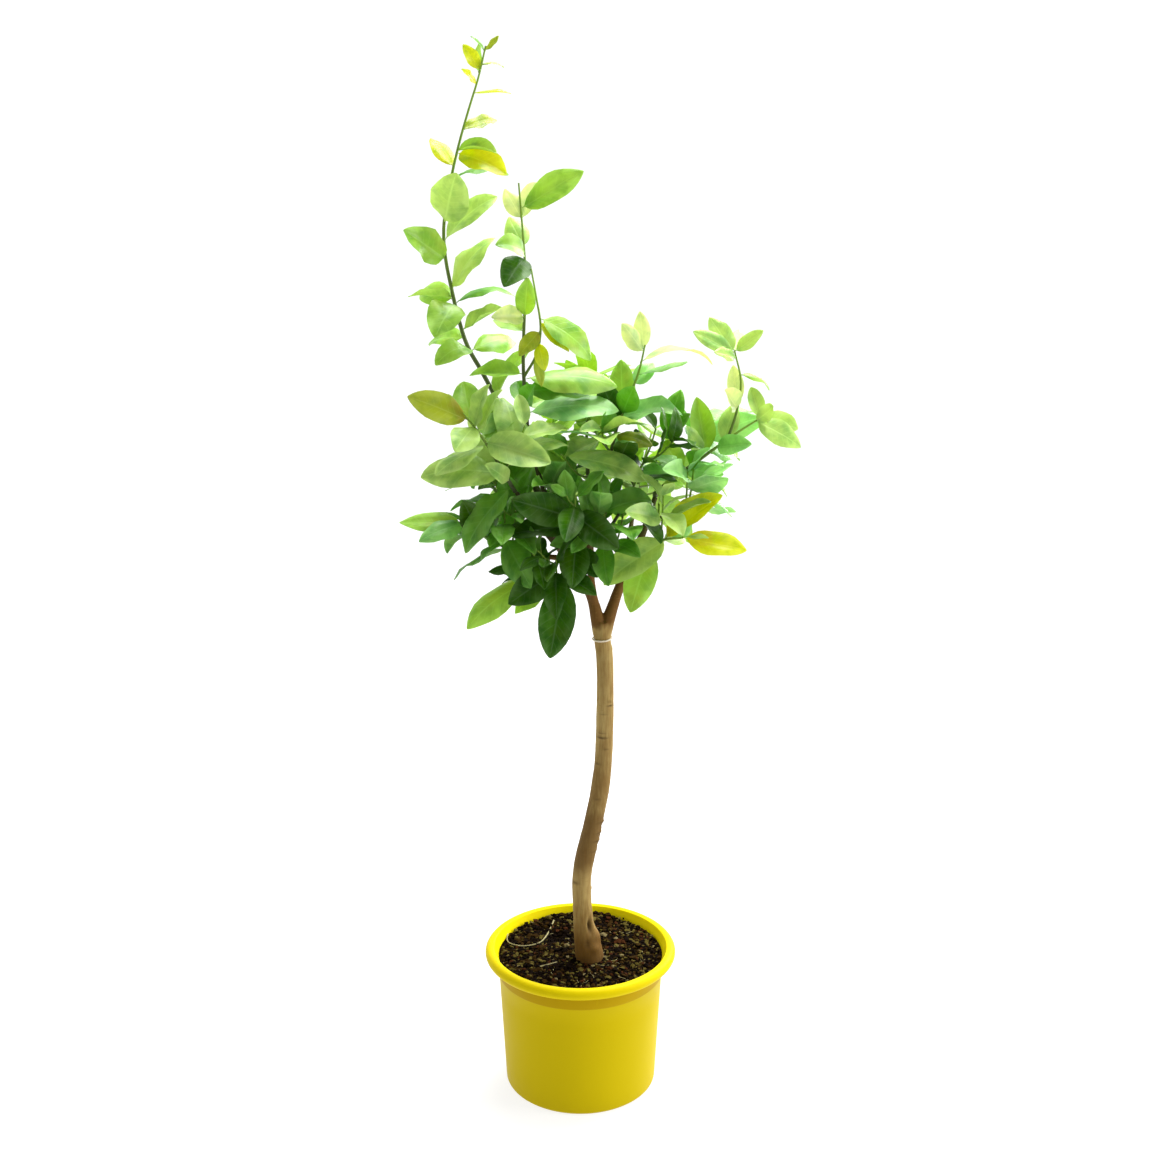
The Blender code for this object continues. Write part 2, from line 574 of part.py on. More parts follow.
def material(name: str, colour: tuple, roughness: float, metallic: float = 0.0) -> bpy.types.Material:
    """A plain material of one colour, roughness and metallic value."""
    made = bpy.data.materials.new(name)
    made.use_nodes = True
    shader = made.node_tree.nodes["Principled BSDF"]
    shader.inputs["Base Color"].default_value = (*colour, 1.0)
    shader.inputs["Roughness"].default_value = roughness
    shader.inputs["Metallic"].default_value = metallic
    return made


def add_object(name: str, verts: list, faces: list, finish: bpy.types.Material,
               where: bpy.types.Collection | None = None) -> bpy.types.Object:
    """A mesh object of these faces, all turned outwards, with its finish."""
    shape = bmesh.new()
    made = [shape.verts.new(v) for v in verts]
    for face in faces:
        shape.faces.new([made[i] for i in face])
    bmesh.ops.recalc_face_normals(shape, faces=shape.faces)
    return object_from(name, shape, finish, where)


def object_from(name: str, shape: bmesh.types.BMesh, finish: bpy.types.Material,
                where: bpy.types.Collection | None = None) -> bpy.types.Object:
    """An object that holds a finished bmesh, which it frees."""
    mesh = bpy.data.meshes.new(name)
    shape.to_mesh(mesh)
    shape.free()
    mesh.materials.append(finish)
    obj = bpy.data.objects.new(name, mesh)
    (where or bpy.context.scene.collection).objects.link(obj)
    return obj


def shade_round(obj: bpy.types.Object) -> None:
    """Smooth shading with sharp corners kept."""
    obj.data.shade_smooth()
    obj.data.set_sharp_from_angle(angle=math.radians(35))


def apply_modifiers(obj: bpy.types.Object) -> None:
    """Makes what the modifiers show the object's own mesh."""
    graph = bpy.context.evaluated_depsgraph_get()
    mesh = bpy.data.meshes.new_from_object(obj.evaluated_get(graph))
    obj.modifiers.clear()
    old, obj.data = obj.data, mesh
    bpy.data.meshes.remove(old)


def keep_largest(obj: bpy.types.Object) -> None:
    """Drops the loose scraps of an object and keeps its longest closed body."""
    shape = bmesh.new()
    shape.from_mesh(obj.data)
    left, bodies = set(shape.verts), []
    while left:
        ends = [left.pop()]
        body = []
        while ends:
            vert = ends.pop()
            body.append(vert)
            for edge in vert.link_edges:
                other = edge.other_vert(vert)
                if other in left:
                    left.remove(other)
                    ends.append(other)
        bodies.append(body)
    bodies.sort(key=extent)
    for body in bodies[:-1]:
        bmesh.ops.delete(shape, geom=body, context="VERTS")
    shape.to_mesh(obj.data)
    shape.free()


def extent(body: list) -> float:
    """The diagonal of the box round some vertices."""
    low, high = box_of([vert.co for vert in body])
    return (high - low).length


def cut(obj: bpy.types.Object, cutters: list) -> None:
    """Cuts solids out of an object and removes them."""
    for cutter in cutters:
        modifier = obj.modifiers.new("cut", "BOOLEAN")
        modifier.operation = "DIFFERENCE"
        modifier.object = cutter
    apply_modifiers(obj)
    for cutter in cutters:
        bpy.data.objects.remove(cutter)


def turned(name: str, profile: list, finish: bpy.types.Material) -> bpy.types.Object:
    """A closed body turned round Z from an outline of radius and height that starts and ends on the axis.

    Its flats, and not its corners, face along X and Y.
    """
    shape = bmesh.new()
    half_step = math.pi / POT_SIDES
    start = Vector((math.cos(half_step), math.sin(half_step)))
    points = [shape.verts.new((*(r * start), z)) for r, z in profile]
    edges = [shape.edges.new(pair) for pair in zip(points, points[1:])]
    bmesh.ops.spin(shape, geom=[*points, *edges], cent=(0, 0, 0), axis=(0, 0, 1), angle=math.tau,
                   steps=POT_SIDES, use_merge=True)
    bmesh.ops.remove_doubles(shape, verts=shape.verts, dist=1e-6)
    bmesh.ops.recalc_face_normals(shape, faces=shape.faces)
    return object_from(name, shape, finish)


def arc(centre: tuple, radius: float, start: float, end: float, steps: int) -> list:
    """Points on an arc of a profile, with angles in degrees."""
    angles = [math.radians(start + (end - start) * i / steps) for i in range(steps + 1)]
    return [(centre[0] + radius * math.cos(a), centre[1] + radius * math.sin(a)) for a in angles]


def wall_radius(height: float) -> float:
    """The pot's outer radius at a height below its rim, a step wider above the neck's line."""
    top = POT_HEIGHT - RIM_DEPTH
    share = (height - BASE_ROUNDING) / (top - BASE_ROUNDING)
    plain = BASE_RADIUS + (NECK_RADIUS - BASE_RADIUS) * share
    return plain if height >= POT_HEIGHT - NECK_DEPTH else plain - STEP


def inner_wall(clear: float) -> list:
    """The inside of the pot's wall as radius and height, from top to bottom, drawn in by a clearance."""
    line = POT_HEIGHT - NECK_DEPTH - WALL
    return [(RIM_RADIUS - RIM_WIDTH - clear, POT_HEIGHT - WALL),
            (NECK_RADIUS - WALL - clear, POT_HEIGHT - RIM_DEPTH),
            (wall_radius(line) - WALL - clear, line),
            (wall_radius(BASE_ROUNDING) - WALL - clear, BASE_ROUNDING)]


def make_pot(finish: bpy.types.Material) -> bpy.types.Object:
    """The tapered pot with its rolled rim, a step under the neck and drain holes in its floor."""
    line = POT_HEIGHT - NECK_DEPTH
    roll = RIM_DEPTH / 2
    floor = wall_radius(BASE_ROUNDING) - BASE_ROUNDING
    outer = [(0.0, 0.0), *arc((floor, BASE_ROUNDING), BASE_ROUNDING, -90, 0, 2),
             (wall_radius(line) - STEP, line - STEP), (wall_radius(line), line),
             (wall_radius(POT_HEIGHT - RIM_DEPTH), POT_HEIGHT - RIM_DEPTH)]
    rim = arc((RIM_RADIUS - roll, POT_HEIGHT - roll), roll, -70, 90, 4)
    pot = turned("pot", [*outer, *rim, *inner_wall(0.0), (floor, WALL), (0.0, WALL)], finish)
    holes = []
    for k in range(DRAIN_HOLES):
        a = math.tau * (k + 0.5) / DRAIN_HOLES
        spot = Vector((DRAIN_CIRCLE * math.cos(a), DRAIN_CIRCLE * math.sin(a), 0))
        path = [spot - Vector((0, 0, WALL)), spot + Vector((0, 0, 3 * WALL))]
        holes.append(add_object(f"drain_{k}", *tube(path, [DRAIN_RADIUS] * 2, DRAIN_SIDES), finish))
    cut(pot, holes)
    shade_round(pot)
    return pot


def make_soil(finish: bpy.types.Material) -> bpy.types.Object:
    """The soil that fills the pot, with a lumpy top that is level where the trunk stands."""
    dice = random.Random(SOIL_SEED)
    waves = [(dice.uniform(-90, 90), dice.uniform(-90, 90), dice.uniform(0, math.tau)) for _ in range(4)]
    (top_radius, top), *walls = inner_wall(2 * GAP)
    neck_radius, neck = walls[0]
    edge = neck_radius + (top_radius - neck_radius) * (SOIL_TOP - neck) / (top - neck)
    floor = wall_radius(BASE_ROUNDING) - BASE_ROUNDING - GAP
    sides = [(0.0, WALL + GAP), (floor, WALL + GAP), *reversed(walls)]
    rings = [(edge * (1 - i / SOIL_RINGS), SOIL_TOP) for i in range(SOIL_RINGS + 1)]
    soil = turned("soil", [*sides, *rings], finish)
    for vert in soil.data.vertices:
        spot = vert.co
        if spot.z < SOIL_TOP - GAP or spot.xy.length > edge - GAP:
            continue
        away = (spot.xy - Vector(TRUNK[0][:2])).length / LEVEL_ROUND_TRUNK - 1
        lumps = sum(math.sin(fx * spot.x + fy * spot.y + phase) for fx, fy, phase in waves) / 3
        spot.z += SOIL_BUMP * lumps * min(1.0, max(0.0, away))
    return soil


def make_trunk(path: list, finish: bpy.types.Material) -> bpy.types.Object:
    """The trunk from its flat cut at the soil to the fork."""
    verts, faces = tube(path, trunk_radii(), TRUNK_SIDES)
    for vert in verts[:TRUNK_SIDES]:
        vert.z = TRUNK[0][2]
    trunk = add_object("trunk", verts, faces, finish)
    shade_round(trunk)
    return trunk


def make_tie(path: list, finish: bpy.types.Material) -> bpy.types.Object:
    """The thin tie round the trunk just under the fork, as a ring that clears the bark."""
    radius, centre = next((r, p) for r, p in zip(trunk_radii(), path) if p.z >= TIE_HEIGHT)
    turn = Vector((0, 0, 1)).rotation_difference(direction_at(path, measured(path)[path.index(centre)]))
    shape = bmesh.new()
    ring = bmesh.ops.create_circle(shape, segments=5, radius=TIE_THICKNESS,
                                   matrix=Matrix.Rotation(math.pi / 2, 4, "X"))["verts"]
    bmesh.ops.translate(shape, verts=ring, vec=(radius + TIE_THICKNESS + GAP, 0, 0))
    bmesh.ops.spin(shape, geom=shape.verts[:] + shape.edges[:], cent=(0, 0, 0), axis=(0, 0, 1),
                   angle=math.tau, steps=TIE_SIDES, use_merge=True)
    bmesh.ops.remove_doubles(shape, verts=shape.verts, dist=1e-6)
    place = Matrix.Translation(centre) @ turn.to_matrix().to_4x4()
    bmesh.ops.transform(shape, matrix=place, verts=shape.verts)
    bmesh.ops.recalc_face_normals(shape, faces=shape.faces)
    return object_from("trunk_tie", shape, finish)


def make_bough(bough: Bough, limbs: dict, finish: bpy.types.Material) -> bpy.types.Object:
    """A bough, cut to sit on the trunk and on the boughs that grew before it."""
    clear = 1.3 * GAP
    path = limbs[bough.name]
    made = add_object(bough.name, *tube(path, taper(path, bough.foot, bough.tip), BOUGH_SIDES), finish)
    cutters = [add_object("cutter", *tube(limbs["trunk"], trunk_radii(clear), TRUNK_SIDES), finish)]
    for other in BOUGHS[:BOUGHS.index(bough)]:
        path = limbs[other.name]
        room = tube(path, taper(path, other.foot, other.tip, clear), BOUGH_SIDES)
        cutters.append(add_object("cutter", *room, finish))
    cut(made, cutters)
    keep_largest(made)
    shade_round(made)
    return made


def make_mass(name: str, wood: list, leaves: list, finish: bpy.types.Material) -> bpy.types.Object:
    """One mass: its stem, twigs and leaves fused into one solid."""
    limbs = [tube(path, taper(path, foot, tip), TWIG_SIDES) for path, foot, tip in wood]
    made = add_object(name, *limbs[0], finish)
    rest = bpy.data.collections.new(name + "_pieces")
    bpy.context.scene.collection.children.link(rest)
    for i, solid in enumerate([*limbs[1:], *(leaf.solid() for leaf in leaves)]):
        add_object(f"{name}_piece_{i}", *solid, finish, rest)
    fuse = made.modifiers.new("fuse", "BOOLEAN")
    fuse.operation = "UNION"
    fuse.operand_type = "COLLECTION"
    fuse.collection = rest
    fuse.solver = "MANIFOLD"
    apply_modifiers(made)
    for obj in list(rest.objects):
        bpy.data.objects.remove(obj)
    bpy.data.collections.remove(rest)
    keep_largest(made)
    return made


def main() -> None:
    """Builds every part of the potted tree."""
    for obj in list(bpy.data.objects):
        bpy.data.objects.remove(obj)
    bark = material("bark", (0.30, 0.20, 0.09), 0.85)
    green = material("lemon_leaf", (0.10, 0.28, 0.03), 0.45)
    make_pot(material("yellow_plastic", (0.85, 0.76, 0.0), 0.4))
    make_soil(material("potting_soil", (0.035, 0.022, 0.014), 0.95))
    growth = Growth()
    growth.grow()
    make_trunk(growth.limbs["trunk"], bark)
    make_tie(growth.limbs["trunk"], material("tie", (0.85, 0.75, 0.6), 0.6))
    for bough in BOUGHS:
        make_bough(bough, growth.limbs, bark)
    for mass in MASSES:
        make_mass(mass.name, growth.wood[mass.name], growth.leaves[mass.name], green)


if __name__ == "__main__":
    main()
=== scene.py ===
"""The looks of a young lemon tree in its yellow nursery pot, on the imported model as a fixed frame.

Metres, +Z up, with the origin in the middle of the pot's flat underside. The pot, the soil, the tie, the
trunk with its boughs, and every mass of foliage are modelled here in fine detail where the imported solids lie,
and stand in for them. The crown grows by the same seeded rule as the solids do, so each leaf lies where its
solid does, and then it carries on to finer shoots inside the same reach.
"""

import logging
import math
import random
from collections.abc import Iterable, Sequence
from dataclasses import dataclass, field, replace
from enum import Enum
from itertools import accumulate

import bmesh
import bpy
import numpy as np
from bmesh.types import BMEdge, BMesh, BMFace, BMVert
from bpy.types import Material, Mesh, NodeSocket, Object
from mathutils import Matrix, Vector, noise
from mathutils.bvhtree import BVHTree

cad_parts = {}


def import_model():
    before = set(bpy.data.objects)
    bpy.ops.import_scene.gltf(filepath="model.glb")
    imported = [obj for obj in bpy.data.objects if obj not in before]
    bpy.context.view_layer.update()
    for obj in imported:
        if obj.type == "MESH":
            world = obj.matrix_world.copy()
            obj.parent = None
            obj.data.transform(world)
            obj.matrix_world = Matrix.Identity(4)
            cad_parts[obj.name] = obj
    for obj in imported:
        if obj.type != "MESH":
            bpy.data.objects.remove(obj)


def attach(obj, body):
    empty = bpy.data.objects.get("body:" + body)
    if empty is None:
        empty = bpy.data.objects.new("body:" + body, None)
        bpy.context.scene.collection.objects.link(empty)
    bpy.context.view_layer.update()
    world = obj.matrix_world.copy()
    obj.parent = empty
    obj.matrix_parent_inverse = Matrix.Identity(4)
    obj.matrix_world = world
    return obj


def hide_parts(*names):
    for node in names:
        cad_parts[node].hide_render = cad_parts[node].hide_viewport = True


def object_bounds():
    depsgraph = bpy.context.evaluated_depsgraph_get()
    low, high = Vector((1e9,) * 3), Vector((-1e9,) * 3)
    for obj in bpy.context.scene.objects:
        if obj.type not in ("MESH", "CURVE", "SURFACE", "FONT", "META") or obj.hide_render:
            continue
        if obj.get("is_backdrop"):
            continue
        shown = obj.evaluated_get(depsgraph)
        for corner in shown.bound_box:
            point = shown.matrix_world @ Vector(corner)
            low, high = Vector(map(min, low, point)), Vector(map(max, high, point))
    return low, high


log = logging.getLogger("lemon_tree")

Colour = tuple[float, float, float]
Spot = tuple[float, float, float]
Span = tuple[float, float]
Profile = list[Span]
Row = tuple[float, ...]
Faces = list[tuple[int, ...]]
Solid = tuple[list[Vector], Faces]
Arrays = tuple[np.ndarray, Faces]
Path = list[Vector]

BODY = "root"
UP = Vector((0, 0, 1))

# The gap that touching solids keep, and the room round the limbs and leaves as they grow.
GAP = 0.0003
CLEARANCE = 0.0007
FREE_OF_TWIG = 0.0042
FREE_OF_OWN_TWIG = 0.012

# Wood. Youth is how young it is at foot and tip, from 0 to 1.
SOIL_TOP = 0.178
BOUGH_SIDES = 8
TWIG_SIDES = 3
TWIG_RADIUS = 0.0018
TIP_RADIUS = 0.001
STATION = 0.034
NEARBY = 0.01
LIMB_STEPS = 2
SMOOTH_STEPS = 4
STEM_BARE = 0.12
STEM_YOUTH = (0.0, 1.0)
TWIG_YOUTH = (0.4, 1.0)

# Side twigs: the angle from the stem in degrees, the play in length, what they lose towards the stem's tip,
# and how much their outer half turns upwards.
SIDE_RISE = (35, 65)
SIDE_SIZES = (0.75, 1.25)
SIDE_LOSS = 0.35
SIDE_UPTURN = 0.45
SIDE_BARE = 0.25

# Sprigs, the seeded side twigs of a stem.
SPRIG_LENGTH = 0.07
SPRIG_LEAVES = 5
SPRIG_RADIUS = 0.0013
SPRIG_STARTS = (0.3, 0.9)
SPRIG_YOUTH = (0.3, 1.0)

# Fine shoots, which only the looks have.
SHOOT_LENGTH = 0.034
SHOOT_LEAVES = 3
SHOOT_RADIUS = 0.0009
SHOOT_STARTS = (0.35, 0.95)
SHOOT_YOUTH = (0.6, 1.0)
SHOOT_SEED = 500
SHOOT_LEAF = 0.5

# Leaves. Angles of the seeded ones are in degrees.
LEAF_LENGTH = 0.078
LEAF_SIZES = (0.75, 1.15)
LEAF_WIDTH = 0.46
LEAF_WIDTHS = (0.9, 1.12)
LEAF_THICKNESS = 0.022
LEAF_YOUNG = 0.5
LEAF_OUTLINE = ((0.34, 0.96), (0.72, 0.86))
LEAF_RISE = (40, 85)
LEAF_RISE_LOSS = 0.4
LEAF_SINK = (-0.35, 0.1)
LEAF_TO_TIP = 0.3
LEAF_ROLL = (-35, 35)
LEAF_ARCH = (20, 80)
STALK_RADIUS = 0.00045
SPIRAL = math.radians(137.5)
SPIRAL_PLAY = (-60, 60)
SPIRAL_STARTS = (0.4, 1.0)
SPREAD = (4, 8)
NEARLY_UPRIGHT = 0.15
SWINGS = ((0, 0), (8, 0), (-8, 0), (0, 8), (0, -8), (16, 0), (-16, 0), (0, 14), (0, -14), (24, 0), (-24, 0))
FLATTER = (1.0, 0.3)
TRIES = 10


class Tint(Enum):
    """The colour class of a spray or of a marked leaf, from the old dark leaves to the flush of new ones."""

    DEEP = "d"
    GREEN = "g"
    MID = "m"
    LIGHT = "l"
    COOL = "c"
    PALE = "p"
    YELLOW = "y"
    OLIVE = "o"


@dataclass(frozen=True)
class Bough:
    """One tapering limb: its route in millimetres and its radius at foot and tip."""

    name: str
    route: tuple[Spot, ...]
    foot: float
    tip: float

    def path(self, steps: int) -> Path:
        """Its middle line, with so many steps to each stretch of the route."""
        return smooth_route(metres(self.route), steps)


@dataclass(frozen=True)
class Twig:
    """A leafy twig, or the stem of a mass.

    It starts at a share of the stem's length and follows a route in millimetres. Each marked leaf is a row:
    the share of the twig where it leaves, its reach from there to its tip in x, y and z, how far its face
    leans from level towards -Y, and its arch, both in degrees, with its width as a share of its length where
    that isn't the usual one. Tints has a letter for each row. A twig has seeded leaves past its bare foot.
    """

    route: tuple[Spot, ...]
    at: float = 0.0
    marked: tuple[Row, ...] = ()
    tints: str = ""
    leaves: int = 0


@dataclass(frozen=True)
class Mass:
    """One mass of foliage: its bough, its stem, its twigs, its seeded growth and the tints of its sprays.

    Shades has a letter for each stretch of the stem from foot to tip, which deals out the tints of the
    seeded sprays. Shoots is how many fine shoots each twig gets.
    """

    name: str
    bough: str
    stem: Twig
    twigs: tuple[Twig, ...] = ()
    sprigs: int = 0
    seed: int = 1
    shades: str = "dgm"
    shoots: int = 1


TRUNK = (
    (0.012, -0.012, SOIL_TOP + GAP, 0.0185),
    (0.01, -0.012, 0.192, 0.0175),
    (0.005, -0.012, 0.22, 0.0138),
    (0.002, -0.011, 0.266, 0.0122),
    (0.004, -0.009, 0.306, 0.0124),
    (0.018, -0.005, 0.371, 0.0122),
    (0.029, 0.0, 0.437, 0.0116),
    (0.0315, 0.003, 0.522, 0.011),
    (0.031, 0.002, 0.581, 0.0108),
    (0.0278, 0.0, 0.61, 0.0106),
    (0.0275, 0.0, 0.632, 0.0112),
)

BOUGHS = (
    Bough("left", ((25.5, 0, 616), (17, -3, 656), (8, -4, 679), (-4, -3, 698), (-23, 0, 729),
          (-41, 4, 766), (-57, 8, 805)), 0.0078, 0.0034),
    Bough("right", ((29.5, 0, 616), (45, 2, 664), (53, 4, 684), (66, 6, 714), (80, 6, 750),
          (92, 4, 788)), 0.008, 0.0032),
    Bough("centre", ((18, -3, 654), (15, -14, 682), (11, -20, 727), (12, -18, 770), (22, -12, 806)),
          0.0046, 0.0028),
    Bough("left_mid", ((-23, 0, 729), (-36, -16, 776), (-50, -24, 826), (-60, -26, 868)),
          0.0042, 0.0026),
    Bough("left_front", ((-4, -3, 698), (-24, -30, 730), (-50, -48, 768), (-75, -56, 806)),
          0.0042, 0.0026),
    Bough("left_side", ((-14, -1, 712), (-42, -10, 717), (-72, -18, 723)), 0.004, 0.0024),
    Bough("left_low", ((9, -4, 676), (-4, -16, 686), (-16, -26, 694)), 0.0038, 0.0024),
    Bough("front", ((2, -4, 689), (0, -28, 712), (-2, -44, 734)), 0.0038, 0.0026),
    Bough("left_back", ((-8, -2, 704), (-22, 30, 726), (-40, 56, 756)), 0.0044, 0.0028),
    Bough("right_low", ((51, 3, 679), (66, -16, 708), (80, -34, 731)), 0.0042, 0.0024),
    Bough("right_back", ((56, 4, 691), (60, 32, 719), (66, 58, 752)), 0.0044, 0.0028),
    Bough("middle_back", ((14, -4, 662), (14, 22, 704), (12, 38, 752), (10, 44, 804)), 0.0046, 0.0028),
    Bough("inner_left", ((-34, 2, 752), (-50, -6, 760), (-64, -12, 768)), 0.0034, 0.0022),
    Bough("inner_front", ((58, 5, 696), (50, -16, 714), (44, -30, 728)), 0.0036, 0.0022),
    Bough("inner_right", ((11, -20, 734), (24, -26, 748), (36, -30, 760)), 0.0032, 0.0022),
    Bough("right_mid", ((82, 6, 756), (96, -8, 764), (108, -16, 770)), 0.0034, 0.0022),
)

